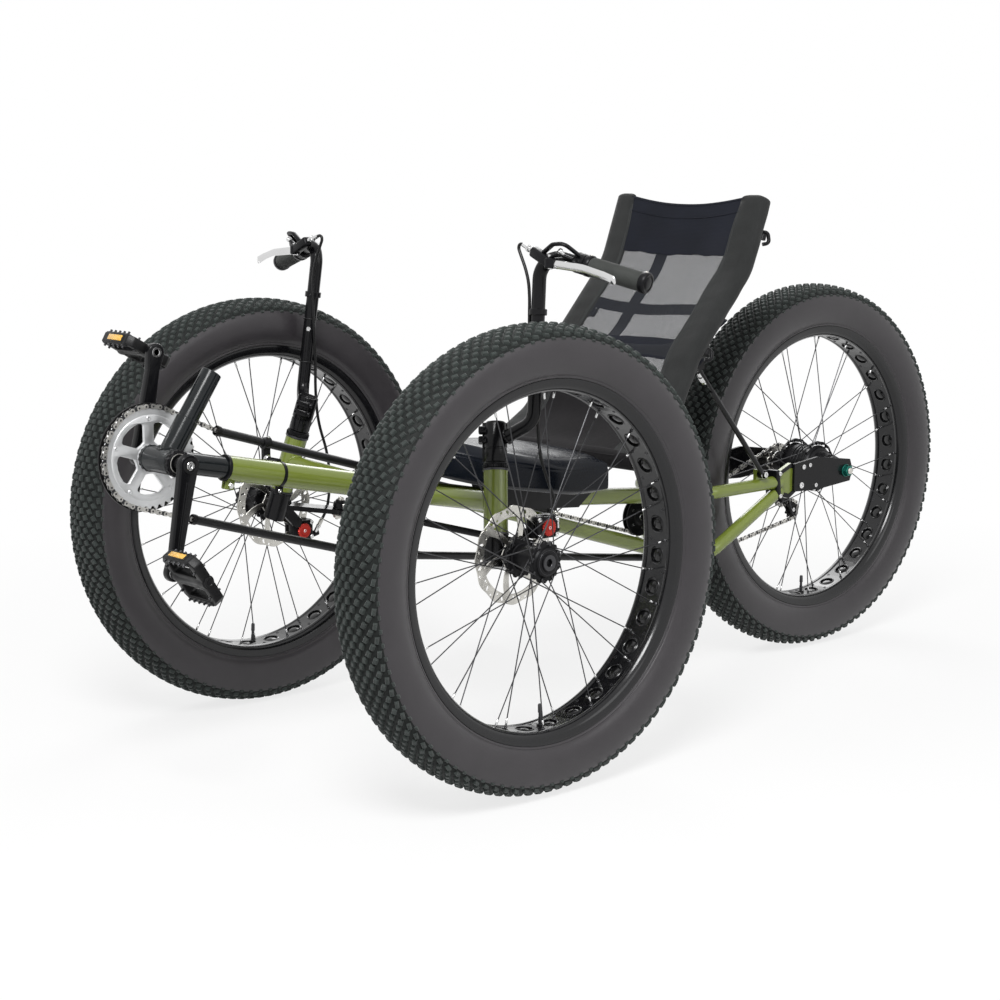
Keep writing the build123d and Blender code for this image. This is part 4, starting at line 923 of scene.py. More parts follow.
def lever_shape():
    """Clamp band, forged body with its guard arch, barrel adjuster and polished blade."""
    first, last = (BAR_TOP + (BAR_END - BAR_TOP) * share for share in (0.345, 0.435))
    width = (last - first).length
    band = lathe([(0, 11.4), (0, 15.6), (0.9, 16.4), (width - 0.9, 16.4), (width, 15.6),
                  (width, 11.4)], 40).stood(first, BAR_WAY)
    dimple = lathe([(0, 1.9), (0.25, 1.6), (-0.4, 0)], 10).painted(2)
    dimples = []
    for k in range(16):
        a = TAU * k / 16
        dimples += [dimple.moved(frame_at(first, BAR_WAY) @ frame_at(
            (s, 16.35 * cos(a), 16.35 * sin(a)), (0, cos(a), sin(a)))) for s in (5.0, width - 5.0)]
    body_end, pivot = on_lever(6, -20, 1), on_lever(45, -20, -16)
    body = brick((46, 17, 17), 4.5, 3).stood((body_end + pivot) / 2, pivot - body_end)
    body += rod(pivot + Vector((0, 0, -8)), pivot + Vector((0, 0, 8)), 9.5, 24, 1.5)
    web = pipe([pivot, on_lever(60, -6, -14), (first + last) / 2 + Vector((0, -8, 0))],
               [7.5, 7.0, 8.0], 14)
    arch = pipe(rounded([on_lever(30, -20, 0), on_lever(50, -19, 13), on_lever(72, -16, 14.5),
                         on_lever(80, 8, -4)], [10, 12], 20), 3.4, flat=((0, 0, 1), 1.5))
    arch += pipe(rounded([on_lever(46, -20, -8), on_lever(60, -18, -1), on_lever(78, -4, -10)],
                         8, 20), 3.0, flat=((0, 0, 1), 1.5))
    cap = bolt((0, 0, 0), (1, 0, 0), 5.2, 3.0, 1)
    cap += lathe([(-6, 0), (-6, 3.4), (0, 3.4)], 12).painted(1)
    cap = cap.stood(on_lever(66, -18, 2), (-0.2, -0.75, 0.6))
    barrel = lathe([(4, 4.4), (9, 4.4), (9.4, 5.4), (16, 5.4), (16.6, 4.4), (18, 3.8), (29, 3.4),
                    (29.5, 0)], 20) + fluted(9.6, 15.8, 5.6, 0.35, 16, 0.3)
    barrel = barrel.painted(1).stood(body_end, on_lever(-22, -17.2, 10.2) - body_end)
    line = rounded([on_lever(34, -20.5, -20), on_lever(60, -20, -18), on_lever(119, -17, -23),
                    on_lever(153, -13, -31), on_lever(174, -11, -38), on_lever(178.5, -10.5, -44)],
                   [30, 60, 50, 5], 8.0)
    radii = np.interp(np.linspace(0, 1, len(line)), [0, 0.12, 0.3, 0.5, 0.8, 0.94, 1.0],
                      [5.5, 7.5, 6.2, 6.0, 7.4, 5.8, 3.0])
    blade = pipe(line, radii, 16, flat=((0, 0, 1), 0.42))
    blade += rod(pivot + Vector((0, 0, -10)), pivot + Vector((0, 0, 10.5)), 4.2, 20, 0.8)
    blade += bolt(pivot + Vector((0, 0, 10)), (0, 0, 1), 4.6, 2.4)
    return join([band, body, web, arch, cap, barrel, blade.painted(1)] + dimples)


def tie_rod_shape():
    """Rod with lock nuts and rubber-booted ball ends, bolted down on the steering arms."""
    x, y, z = TIE_ROD_END
    bar = lathe([(-x + 40, 3.8), (-x + 40, 5.6), (-x + 41, 6.0), (x - 41, 6.0), (x - 40, 5.6),
                 (x - 40, 3.8)], 24)
    shank = lathe([(x - 42, 4.0), (x - 11, 4.0)], 16)
    nut = lathe([(x - 40, 3.8), (x - 40, 7.2), (x - 34.5, 7.2), (x - 34.5, 3.8)], 6).painted(1)
    for k in range(12):
        nut += torus(4.05, 0.35, 16, 4).moved(shift(x - 33.5 + k * 1.7, 0, 0)).painted(1)
    half = (shank + nut).moved(shift(0, y, z))
    eye = lathe([(-6.0, 3.1), (-6.0, 8.6), (-4.6, 11.4), (-2, 12.0), (2, 12.0), (4.6, 11.4),
                 (6.0, 8.6), (6.0, 3.1)], 32)
    boot = lathe([(5.6, 8.6), (6.6, 9.4), (7.4, 8.2), (8.4, 8.8), (9.2, 7.4), (10.2, 7.6),
                  (10.8, 5.8), (10.8, 3.0)], 28).painted(2)
    end = eye + boot + bolt((10.6, 0, 0), (1, 0, 0), 5.6, 4.4, 1)
    whole = bar.moved(shift(0, y, z))
    # the washer sits lower on the right, where the rod's end leaves its pivot when steered
    for low, place in ((-15.8, Matrix.Identity(4)), (-18.2, MIRROR)):
        foot = lathe([(low - 5.8, 0), (low - 5.8, 7.5), (low - 1.2, 8.5), (low - 1.2, 11.6),
                      (low, 11.9), (low, 3.0)], 30).painted(1)
        pin = lathe([(low - 9.5, 0), (low - 9.5, 2.4), (low - 8.5, 3.0), (11, 3.0)], 16).painted(1)
        whole += ((end + foot + pin).stood((x, y, z), TIE_ROD_PIN) + half).moved(place)
    return whole


def caliper_shape(middle, side, stop, way):
    """Two-piece brake caliper over the disc, with red adjuster, bolts and cable arm."""
    y, z = middle
    bridge = brick((22, 16, 9), 2.5, 2)
    body = [brick((16.6, 46, 37), 4.0, 3).moved(shift(-10.5, 0, 0)),
            brick((7.2, 45, 35), 2.4, 3).moved(shift(5.9, 0, 0)),
            bridge.moved(shift(-2, 15, 14.5)), bridge.moved(shift(-2, -15, 14.5))]
    knob = fluted(0.2, 4.6, 13.6, 0.7, 22, 0.8).painted(3)
    knob += lathe([(4.4, 10.6), (5.0, 10.2), (4.6, 7.5), (3.9, 6.4), (3.9, 5.2), (5.2, 4.8),
                   (5.2, 0)], 32).painted(3)
    knob += bolt((4.2, 0, 0), (1, 0, 0), 3.1, 1.2, 1, 12)
    knob += lathe([(-0.6, 0), (-0.6, 15.2), (0.4, 15.2), (0.8, 14.2), (0.8, 0)], 36)
    if side < 0:
        knob = knob.moved(turn(180, "Z"))
    body.append(knob.moved(shift(9.5 if side > 0 else -18.9, 0, 0)))
    for dy, dz in ((18.5, 13.5), (-18.5, 13.5), (18.5, -13.0), (-18.5, -13.0)):
        body += [bolt((9.3, dy, dz), (1, 0, 0), 3.8, 2.6, 1),
                 bolt((-18.6, dy, dz), (-1, 0, 0), 3.8, 2.2, 1)]
    cable_stop = lathe([(-0.2, 3.2), (-0.2, 4.6), (3, 4.6), (3.6, 3.9), (13, 3.9), (14, 3.4)], 18)
    arm = pipe([(325, y + 12, z - 12), (322, y + 24, z - 12), (320, y + 40, z - 9)],
               [8.0, 6.5, 5.0], 14, flat=((0, 0, 1), 0.7))
    return join([join(body).moved(shift(330, y, z)), cable_stop.painted(1).stood(stop, way), arm,
                 bolt((325.6, y + 27, z - 11), (1, 0, 0), 3.6, 2.0, 1)])


def make_steering():
    for name, place in SIDES:
        body = f"{name}_steering"
        piece(f"{name}_handlebar_look", stem_and_bar().moved(place), body,
              "black anodised plastic chrome", f"{name}_handlebar")
        piece(f"{name}_grip_look", grip_shape().moved(place), body,
              "grip anodised steel", f"{name}_grip", 50)
        piece(f"{name}_lever_look", lever_shape().moved(place), body,
              "anodised chrome plastic", f"{name}_brake_lever")
        piece(f"{name}_headset_rings", headset_rings().moved(place), body,
              "anodised")
        piece(f"{name}_caliper_look", caliper_shape(*CALIPERS[name]).moved(place), body,
              "anodised chrome plastic red", f"{name}_caliper")
        piece(f"{name}_headset_cups", headset_cup().moved(place), "frame",
              "anodised dark_steel")
    piece("tie_rod_look", tie_rod_shape(), "steering_rod",
          "anodised steel plastic", "tie_rod")


make_steering()

# ------------------------------------------------------------------ frame and boom
BB = Vector((0, -432, 529))
POST_BASE, POST_TOP = Vector((0, -420, 541)), Vector((0, -340, 660))
BOOM_FRONT, BOOM_SLOPE, BOOM_R = -321.0, -0.205, 20.5
BOOM_WAY = Vector((0, 1, BOOM_SLOPE)).normalized()
CROSS_R, HEAD_R = 16.0, 19.5


def on_boom(y, x=0.0, up=0.0):
    """A point beside the boom's middle line: x across, up square to it."""
    middle = Vector((x, y, 507 + BOOM_SLOPE * (y - BOOM_FRONT)))
    return middle + BOOM_WAY.cross(Vector((-1, 0, 0))) * up


def saddle_weld(centre, way, r, host_way, host_r, thick=2.2):
    """A rippled bead where a tube of radius r leaves a thicker one through centre."""
    way, host = Vector(way).normalized(), Vector(host_way).normalized()
    u = way.orthogonal().normalized()
    v = way.cross(u)
    line, radii = [], []
    for i in range(96):
        a = TAU * i / 96
        o = (u * cos(a) + v * sin(a)) * r
        across_o, across_w = o - host * o.dot(host), way - host * way.dot(host)
        qa, qb = across_w.length_squared, 2 * across_o.dot(across_w)
        qc = across_o.length_squared - host_r ** 2
        far = (-qb + sqrt(max(0, qb * qb - 4 * qa * qc))) / (2 * qa)
        line.append(Vector(centre) + o + way * far)
        radii.append(thick * (1 + 0.14 * cos(24 * a)))
    return pipe(line + line[:1], radii + radii[:1], 8, caps=False)


def boom_collar():
    """Dark ring at the boom's mouth, and the green clamp ears with their bolt under it."""
    ring = lathe([(-2.4, 17.8), (-2.4, 20.6), (-1.6, 21.4), (2.4, 21.4), (3.0, 20.6)], 48)
    ears = [brick((17, 5, 16), 2.0, 2).painted(2).moved(shift(12, side * 4.2, -26))
            for side in (1, -1)]
    screw = rod((12, -9.5, -27), (12, 9.5, -27), 2.6, 14).painted(1)
    screw += bolt((12, 6.6, -27), (0, 1, 0), 4.6, 3.8, 1)
    screw += hex_nut((12, -6.6, -27), (0, -1, 0), 5, 4)
    # a black strip under the boom's mouth: painted shade of the clamp's slot
    slot_shade_strip = brick((34, 1.4, 3), 0.4, 1).moved(shift(18, 0, -20.2))
    return join([ring] + ears + [screw, slot_shade_strip]).stood(on_boom(BOOM_FRONT), BOOM_WAY)


def post_shape():
    """Accessory post with a bored top and a weld flare on the bottom bracket shell."""
    way = POST_TOP - POST_BASE
    length = way.length
    root = length - 84.0
    tube = lathe([(-3, 17.8), (root - 1.2, 17.8), (root, 16.5), (length - 1.0, 16.5),
                  (length, 15.6), (length, 14.0), (length - 1.0, 13.4)], 48)
    # material 1 inside the bore is painted shade
    bore = lathe([(length - 1.0, 13.4), (length - 46, 13.2), (length - 46, 0)], 48).painted(1)
    shape = (tube + bore).stood(POST_BASE, way)
    shape += saddle_weld(BB + Vector((0, 1, 0)), way, 17.8, (1, 0, 0), 20.5, 2.6)
    return shape + saddle_weld(BB + Vector((0, 3.3, -0.7)), way, 17.8, BOOM_WAY, 17.6, 2.4)


def frame_welds():
    """Beads where the cross members leave the boom and where they meet the head tubes."""
    root, end = on_boom(14, up=-6), kingpin(HEAD_MIDDLE)
    near = saddle_weld(root, end - root, CROSS_R, BOOM_WAY, BOOM_R)
    far = saddle_weld(end, root - end, CROSS_R, KINGPIN_WAY, HEAD_R)
    return near.both_sides() + far.both_sides()


def slider_welds():
    """Bead between the slider and the bottom bracket shell, and the shell's rims."""
    rim = lathe([(33.0, 20.4), (33.4, 21.4), (35.8, 21.6), (36.4, 20.8), (36.4, 14)], 48)
    bead = saddle_weld(BB, on_boom(-300) - BB, 17.6, (1, 0, 0), 20.5, 2.4)
    return bead + rim.moved(shift(*BB)).both_sides()


def bearing_cups():
    """Notched cup screwed into each side of the shell, and a dust ring round the spindle."""
    cup = fluted(36.4, 43.6, 21.2, 0.8, 16, 0.8) + lathe([(43.6, 19), (45.0, 18), (45.0, 12.4)], 40)
    ring = torus(15.2, 0.7, 40, 6).moved(shift(45.2, 0, 0)).painted(1)
    thin = fluted(36.4, 40.4, 21.2, 0.8, 16, 0.8)
    return cup.moved(shift(*BB)) + ring.moved(shift(*BB)) + thin.moved(shift(*BB) @ MIRROR)


def small_tabs():
    """Clip with its bolt under the boom's front, and a cable tab further back."""
    shape = Shape([], [])
    for y in (-216, -60):
        shape += brick((15, 3.2, 13), 1.0, 2).stood(on_boom(y, 6, -25.0), BOOM_WAY)
        shape += bolt(on_boom(y, 7.6, -26.0), (1, 0, 0), 3.4, 2.6, 1)
        shape += lathe([(-3, 20.6), (-3, 21.4), (3, 21.4), (3, 20.6)], 48).stood(
            on_boom(y), BOOM_WAY)
    return shape


def make_frame_details():
    piece("frame_welds", frame_welds(), "frame", "green", sharp=60)
    piece("boom_collar", boom_collar(), "frame", "anodised chrome green")
    piece("accessory_post_look", post_shape(), "frame", "slate bore",
          "accessory_post")
    piece("slider_welds", slider_welds(), "frame", "slate", sharp=60)
    piece("bearing_cups", bearing_cups(), "frame", "anodised steel")
    piece("frame_tabs", small_tabs(), "frame", "anodised chrome")


# ------------------------------------------------------------------ cranks and pedals
CRANK_ANGLE, CRANK_LENGTH, ARM_X, ARM_T = 101.0, 165.0, 62.0, 14.0
PEDAL_TILTS = {"left": -57.0, "right": -30.0}


def pedal_centre(side):
    """Middle of a pedal's pin; side is 1 for the left and -1 for the right."""
    a = radians(CRANK_ANGLE)
    return BB + Vector((0, cos(a), -sin(a))) * CRANK_LENGTH * side


def link_outline(r1, r2, length, waist, n=14):
    """Two round ends joined by a waisted bar, along X from the origin."""
    first = [(r1 * cos(a), r1 * sin(a)) for a in np.linspace(1.15, TAU - 1.15, n)]
    last = [(length + r2 * cos(a), r2 * sin(a)) for a in np.linspace(-1.7, 1.7, n)]
    (near, wide), (far, slim) = (length * 0.2, waist[0]), (length * 0.82, waist[1])
    return first + [(near, -wide), (far, -slim)] + last + [(far, slim), (near, wide)]


def crank_arm_shape(side):
    """Forged arm with a bolt cap, a sunk panel along its outer face, and the pedal's pin."""
    blank = plate([link_outline(17.6, 14.4, CRANK_LENGTH, (14.4, 10.6))], ARM_T, 2.6, 3)
    rib = plate([link_outline(3.2, 2.6, 104, (3.6, 2.8), 8)], 1.4, 0.5, 1)
    arm = facing_x(blank + rib.moved(shift(28, 0, ARM_T / 2)))
    cap = lathe([(7, 12.6), (8.2, 12.2), (8.4, 9.2), (7.4, 8.8), (7.4, 7.0)], 32).painted(2)
    cap += bolt((6.0, 0, 0), (1, 0, 0), 6.8, 3.4, 1)
    eye = lathe([(6.8, 10.4), (7.6, 10.0), (7.6, 7.6), (8.2, 7.2), (14, 7.2), (14.4, 5.1),
                 (84, 5.0), (84, 0)], 24).painted(1)
    tip = lathe([(-7.0, 8.4), (-7.8, 8.0), (-7.8, 5.0), (-7.0, 4.4), (-7.0, 0)], 24).painted(1)
    arm += cap + (eye + tip).moved(shift(0, CRANK_LENGTH, 0))
    swing = turn(-CRANK_ANGLE if side > 0 else 180 - CRANK_ANGLE)
    middle = shift(*BB) @ swing @ shift(ARM_X + ARM_T / 2, 0, 0)
    if side < 0:
        return arm.moved(MIRROR @ middle)
    spindle = rod((-61, *BB.yz), (62.5, *BB.yz), 8.0, 28).painted(1)
    collar = lathe([(45.6, 8), (45.6, 11.6), (61.4, 13.2), (62.4, 13.2)], 32).moved(shift(*BB))
    return arm.moved(middle) + spindle + collar


def pedal_shape():
    """Cage pedal with shaped rails, grip pins, end caps and reflectors, pin along X."""
    half_w, low, high, thick = 44.0, 81.0, 169.0, 20.0
    outline = filleted([(low, -34), (low + 8, -half_w), (high - 10, -half_w), (high, -34),
                        (high, -8), (high - 3, 0), (high, 8), (high, 34), (high - 10, half_w),
                        (low + 8, half_w), (low, 34)], 5)
    windows = [filleted([(low + 12, way * 11.5), (high - 12, way * 11.5), (high - 14, way * 33.5),
                         (low + 14, way * 33.5)], 4) for way in (1, -1)]
    cage = plate([outline] + windows, thick - 3, 2.0, 2)
    rails = Shape([], [])
    for way in (1, -1):
        bar = filleted([(low + 9, way * 35), (high - 11, way * 35), (high - 11, way * 43.4),
                        (low + 9, way * 43.4)], 2.5)
        rails += plate([bar], thick, 1.6, 2)
        for x in np.linspace(low + 16, high - 18, 5):
            for face in (1, -1):
                rails += rod((x, way * 39.4, face * 9.5), (x, way * 39.4, face * 14.2), 2.0, 10,
                             0.5).painted(1)
                rails += lathe([(0, 3.4), (0.6, 3.0), (0.6, 0)], 10).painted(1).stood(
                    (x, way * 39.4, face * 9.8), (0, 0, face))
    for x in (low + 6, high - 6):
        for face in (1, -1):
            for way in (-24, 24):
                rails += rod((x, way, face * 8), (x, way, face * 12.2), 1.9, 10, 0.5).painted(1)
    core = lathe([(low - 0.5, 6), (low - 0.5, 10.5), (low + 12, 11.8), (low + 20, 9.6),
                  (high - 22, 9.2), (high - 14, 11.0), (high - 2, 10.6), (high - 1, 9.0)], 32)
    cap = lathe([(high - 1, 8.8), (high + 1.0, 8.2), (high + 1.6, 5.4), (high + 0.8, 4.6),
                 (high + 0.8, 0)], 24)
    lens = Shape([], [])
    for way in (1, -1):
        frame_bar = brick((50, 3.4, 15), 1.2, 2).moved(shift(122, way * 43.2, 0))
        glass = brick((40, 2.4, 9.5), 0.8, 2).painted(2).moved(shift(122, way * 44.8, 0))
        lens += frame_bar + glass
    return cage + rails + core + cap + lens


def filleted(corners, r):
    """A closed 2D outline with its corners rounded, each in n steps."""
    n = 4
    out = []
    for k, here in enumerate(corners):
        p = Vector((*here, 0))
        a = (Vector((*corners[k - 1], 0)) - p).normalized()
        b = (Vector((*corners[(k + 1) % len(corners)], 0)) - p).normalized()
        half = a.angle(b) / 2
        back = r / tan(half)
        centre = p + (a + b).normalized() * r / sin(half)
        first, last = p + a * back - centre, p + b * back - centre
        for i in range(n + 1):
            out.append(tuple((centre + first.normalized().slerp(last.normalized(), i / n) * r).xy))
    return out


def chainring_shape(tooth_phase):
    """Toothed ring on a five-armed spider, with bolts, inside a thin black guard."""
    ring = facing_x(plate(toothed(40, 77.0, 83.4, 58.0), 3.0, 0.5)).moved(turn(tooth_phase))
    corners = [(27.0, -16.5), (55.0, -26.5), (59.5, -13.0), (60.8, 0.0), (59.5, 13.0),
               (55.0, 26.5), (27.0, 16.5), (25.0, 0.0)]
    windows = []
    for k in range(5):
        middle = radians(72 * k + 54)
        windows.append(filleted([(r * cos(middle + radians(a)), r * sin(middle + radians(a)))
                                 for r, a in corners], 4))
    spider = facing_x(plate([circle(68.0, 96)] + windows + [circle(9.0, 24)], 5.4, 1.1, 2), -0.4)
    shape = [ring, spider, lathe([(2.2, 9), (2.2, 22), (3.6, 21.4), (4.4, 17.5), (4.4, 9)], 40)]
    for k in range(5):
        a = radians(72 * k + 18)
        y, z = 62.5 * cos(a), 62.5 * sin(a)
        shape += [bolt((2.2, y, z), (1, 0, 0), 3.6, 1.2),
                  bolt((-3.0, y, z), (-1, 0, 0), 5.0, 2.0, 1)]
    guard = facing_x(plate([circle(85.5, 120), circle(69.0, 96)], 2.5, 0.6), -7.6)
    lip = lathe([(-8.9, 85.0), (-8.9, 86.0), (-6.4, 86.0), (-6.4, 85.0)], 120)
    hub = lathe([(-18.6, 9), (-18.6, 18.0), (-17.6, 19.0), (-3.0, 19.0)], 40)
    shape.append(join([guard, lip, hub]).painted(2))
    return join(shape).moved(shift(CHAIN_FRONT_X, BB.y, BB.z))


def make_cranks():
    for name, side in (("left", 1), ("right", -1)):
        piece(f"{name}_crank_look", crank_arm_shape(side), "crankset",
              "black chrome plastic", f"{name}_crank_arm")
        at = pedal_centre(side)
        place = shift(0, at.y, at.z) @ turn(PEDAL_TILTS[name]) @ dict(SIDES)[name]
        piece(f"{name}_pedal_look", pedal_shape().moved(place), f"{name}_pedal_body",
              "plastic dark_steel amber", f"{name}_pedal")
    piece("chainring_look", chainring_shape(CHAIN_PHASE), "crankset",
          "alloy chrome plastic", "chainring")


# ------------------------------------------------------------------ chain, guides and tensioner
# y, z, radius and sense of each wheel and bend that the chain goes round, as in the CAD source
IDLER, JOCKEYS = (678, 304), ((1112, 296), (1143, 264))
CHAIN_PATH = [(BB.y, BB.z, 81, 1), (-292, 577, 20, -1), (*IDLER, 33, -1),
              (WHEELBASE, TYRE_R, 34, 1), (*JOCKEYS[0], 20, -1), (*JOCKEYS[1], 20, 1),
              (850, 400, 200, 1), (70, 610, 300, 1)]
CHAIN_FRONT_X = -43.0
CHAIN_SWING = atan((CHAIN_FRONT_X - SPROCKET_X) / (WHEELBASE - BB.y))
UPPER_TUBE_Y, LOWER_TUBE_Y = (-302.0, 430.0), (-352.0, 815.0)
CHAIN_PITCH = 12.7


def in_chain_plane(y, z):
    """The point (y, z) of the chain line, which runs outwards to the back."""
    along = y - BB.y
    c, s = cos(CHAIN_SWING), sin(CHAIN_SWING)
    return Vector((CHAIN_FRONT_X - along * s, BB.y + along * c, z))


def chain_points():
    """Pin places all along the loop, each with whether a guide tube hides it."""
    wheels = [(Vector((y, z)), r * s, s) for y, z, r, s in CHAIN_PATH]
    runs = []
    for k, (c1, r1, _) in enumerate(wheels):
        c2, r2, _ = wheels[(k + 1) % len(wheels)]
        way = c2 - c1
        heading = atan2(way.y, way.x) + acos((r1 - r2) / way.length)
        normal = Vector((cos(heading), sin(heading)))
        runs.append((c1 + normal * r1, c2 + normal * r2))
    line, tags = [], []
    for k, (start, end) in enumerate(runs):
        count = max(2, int((end - start).length / 2))
        line += [start.lerp(end, i / count) for i in range(count)]
        tags += [k] * count
        centre, r, sense = wheels[(k + 1) % len(wheels)]
        after = runs[(k + 1) % len(runs)][0]
        a0 = atan2(*(end - centre).yx)
        a1 = atan2(*(after - centre).yx)
        angle = (sense * (a0 - a1)) % TAU
        count = max(2, int(angle * abs(r) / 2))
        line += [centre + Vector((cos(a0 - sense * angle * i / count),
                                  sin(a0 - sense * angle * i / count))) * abs(r)
                 for i in range(count)]
        tags += [k] * count
    pts = np.array([tuple(p) for p in line + line[:1]])
    far = np.concatenate([[0], np.cumsum(np.linalg.norm(np.diff(pts, axis=0), axis=1))])
    count = 2 * round(far[-1] / CHAIN_PITCH / 2)
    spots = np.linspace(0, far[-1], count, endpoint=False)
    ys, zs = np.interp(spots, far, pts[:, 0]), np.interp(spots, far, pts[:, 1])
    run = [tags[min(int(np.searchsorted(far, s, "right")) - 1, len(tags) - 1)] for s in spots]
    hidden = []
    for y, k in zip(ys, run):
        low, high = UPPER_TUBE_Y if k == 1 else LOWER_TUBE_Y if k in (6, 7) else (0, 0)
        hidden.append(low + 40 < y < high - 40)
    return list(zip(ys, zs, hidden))


CHAIN_SPOTS = chain_points()


def ring_phase():
    """Degrees that turn the chainring so that a gap between its teeth meets a pin."""
    y, z, _ = min(CHAIN_SPOTS, key=lambda p: (p[0], abs(p[1] - BB.z)))
    return degrees(atan2(z - BB.z, y - BB.y))


CHAIN_PHASE = ring_phase()


def slab(outline, low, high):
    """A plain prism over a flat outline."""
    n = len(outline)
    verts = [(x, y, low) for x, y in outline] + [(x, y, high) for x, y in outline]
    faces = [tuple(range(n))[::-1], tuple(range(n, 2 * n))]
    faces += [(i, (i + 1) % n, n + (i + 1) % n, n + i) for i in range(n)]
    return Shape(verts, faces)


def chain_link(outer):
    """One link along X from its first pin, plates square to Z."""
    far = 3.4 if outer else 2.2
    outline = link_outline(4.1, 4.1, CHAIN_PITCH, (3.0, 3.0), 7)
    sides = slab(outline, far - 1.1, far) + slab(outline, -far, 1.1 - far)
    if outer:
        pins = [lathe([(-3.8, 0), (-3.8, 1.5), (-3.5, 1.8), (3.5, 1.8), (3.8, 1.5), (3.8, 0)], 8)
                .stood((x, 0, 0), (0, 0, 1), (1, 0, 0)) for x in (0, CHAIN_PITCH)]
        return join([sides.painted(0)] + [p.painted(1) for p in pins])
    rollers = [lathe([(-1.1, 2.4), (-1.1, 3.8), (1.1, 3.8), (1.1, 2.4)], 12).painted(1)
               .stood((x, 0, 0), (0, 0, 1), (1, 0, 0)) for x in (0, CHAIN_PITCH)]
    return join([sides.painted(1)] + rollers)


def chain_shape():
    """Links all along the loop, apart from those inside the guide tubes."""
    links = [chain_link(True), chain_link(False)]
    across = Vector((cos(CHAIN_SWING), sin(CHAIN_SWING), 0))
    shapes = []
    for k, (y, z, hidden) in enumerate(CHAIN_SPOTS):
        if hidden:
            continue
        y2, z2, _ = CHAIN_SPOTS[(k + 1) % len(CHAIN_SPOTS)]
        start = in_chain_plane(y, z)
        way = (in_chain_plane(y2, z2) - start).normalized()
        m = Matrix((way, across.cross(way), across)).transposed().to_4x4()
        shapes.append(links[k % 2].moved(shift(*start) @ m))
    return join(shapes)


def wheel_plane(y, z):
    """Local X across the chain line, at a wheel's centre."""
    return shift(*in_chain_plane(y, z)) @ Matrix.Rotation(CHAIN_SWING, 4, "Z")


def idler_shape():
    """Grooved roller between two dished guards, on a bolt with washers."""
    half = lathe([(3.8, 8), (3.8, 37), (4.4, 38.0), (5.6, 38.2), (6.6, 37.4), (6.6, 33),
                  (5.4, 31), (5.0, 17), (6.8, 15), (7.4, 12), (7.4, 6)], 64)
    for k in range(5):
        a = TAU * k / 5
        half += lathe([(5.0, 0), (5.0, 3.4), (6.2, 3.0), (6.2, 0)], 12).moved(
            shift(0, 24 * cos(a), 24 * sin(a))).painted(1)
    nut = hex_nut((7.4, 0, 0), (1, 0, 0), 7.5, 4.0)
    roller = half.both_sides() + lathe([(-3.8, 28.6), (3.8, 28.6)], 64) + nut.both_sides()
    axle = lathe([(-15, 6), (-14, 10.5), (-7, 10.5), (-4.3, 9.5), (-4.3, 6), (-66, 6), (-66, 0)],
                 24)
    return roller.moved(wheel_plane(*IDLER)) + axle.moved(shift(0, *IDLER))


def tensioner_shape():
    """Two toothed jockey wheels between cage plates, on a sprung pivot with its bolts."""
    hub = lathe([(-3.8, 0), (-3.8, 8), (-2, 9.5), (2, 9.5), (3.8, 8), (3.8, 0)], 24)
    cap = bolt((6.4, 0, 0), (1, 0, 0), 4.4, 2.6, 1) + bolt((-6.4, 0, 0), (-1, 0, 0), 4.4, 2.6, 1)
    wheel = join([facing_x(plate(toothed(10, 15.4, 19.4, 4.0), 2.2, 0.4)), hub,
                  torus(12.6, 0.8, 32, 6), cap])
    shape = [wheel.moved(wheel_plane(*at)) for at in JOCKEYS]
    way = Vector(JOCKEYS[1]) - Vector(JOCKEYS[0])
    side = plate([link_outline(12.0, 10.5, way.length, (7.0, 6.4)),
                  circle(3.2, 12, way.length / 2)], 2.0, 0.5)
    lean = Matrix.Rotation(atan2(way.y, way.x), 4, "X")
    shape += [side.moved(wheel_plane(*JOCKEYS[0]) @ shift(x, 0, 0) @ lean @ XY_TO_YZ)
              for x in (5.4, -5.4)]
    pivot = lathe([(-107, 0), (-107, 5), (-106, 6.0), (-99.4, 6.0), (-99, 9.0), (-92, 10),
                   (-91, 12.5), (-83, 12.5), (-82, 9.5), (-75, 8.5), (-75, 0)], 32)
    spring = [torus(12.9, 0.8, 32, 6).moved(shift(-84.5 - k * 1.8, 0, 0)) for k in range(4)]
    head = bolt((-106.8, 0, 0), (-1, 0, 0), 6.0, 2.4, 1)
    return join(shape + [join([pivot] + spring + [head]).moved(shift(0, *JOCKEYS[0]))])


def tube_ends():
    """Flared lips on the chain tubes' ends."""
    lip = lathe([(-4.0, 7.2), (-4.0, 8.2), (-2.6, 8.6), (2.6, 8.6), (4.0, 8.2), (4.0, 7.2)], 28)
    lips = []
    for ends, upper_or_lower in ((UPPER_TUBE_Y, max), (LOWER_TUBE_Y, min)):
        for y in ends:
            near = sorted(CHAIN_SPOTS, key=lambda p: abs(p[0] - y))[:6]
            pin = upper_or_lower(near, key=lambda p: p[1])
            after = CHAIN_SPOTS[(CHAIN_SPOTS.index(pin) + 1) % len(CHAIN_SPOTS)]
            slope = (after[1] - pin[1]) / (after[0] - pin[0])
            at, ahead = (in_chain_plane(y + d, pin[1] + slope * (y + d - pin[0])) for d in (0, 1))
            lips.append(lip.stood(at, ahead - at))
    return join(lips)


def clip_bolt():
    """Screw through the clip's tab, and the pinch screw on its ring."""
    y = -208.0
    z = min((p for p in CHAIN_SPOTS if p[1] > 470), key=lambda p: abs(p[0] - y))[1]
    washer = lathe([(0, 0), (0, 7.2), (1.2, 7.0), (1.2, 0)], 24)
    return join([bolt((-43, y, z - 26), (1, 0, 0), 5.2, 4.0),
                 washer.stood((-44.2, y, z - 26), (1, 0, 0)),
                 bolt((-43.4, y + 2, z + 9.0), (0.2, 0, 1), 3.0, 2.2)])


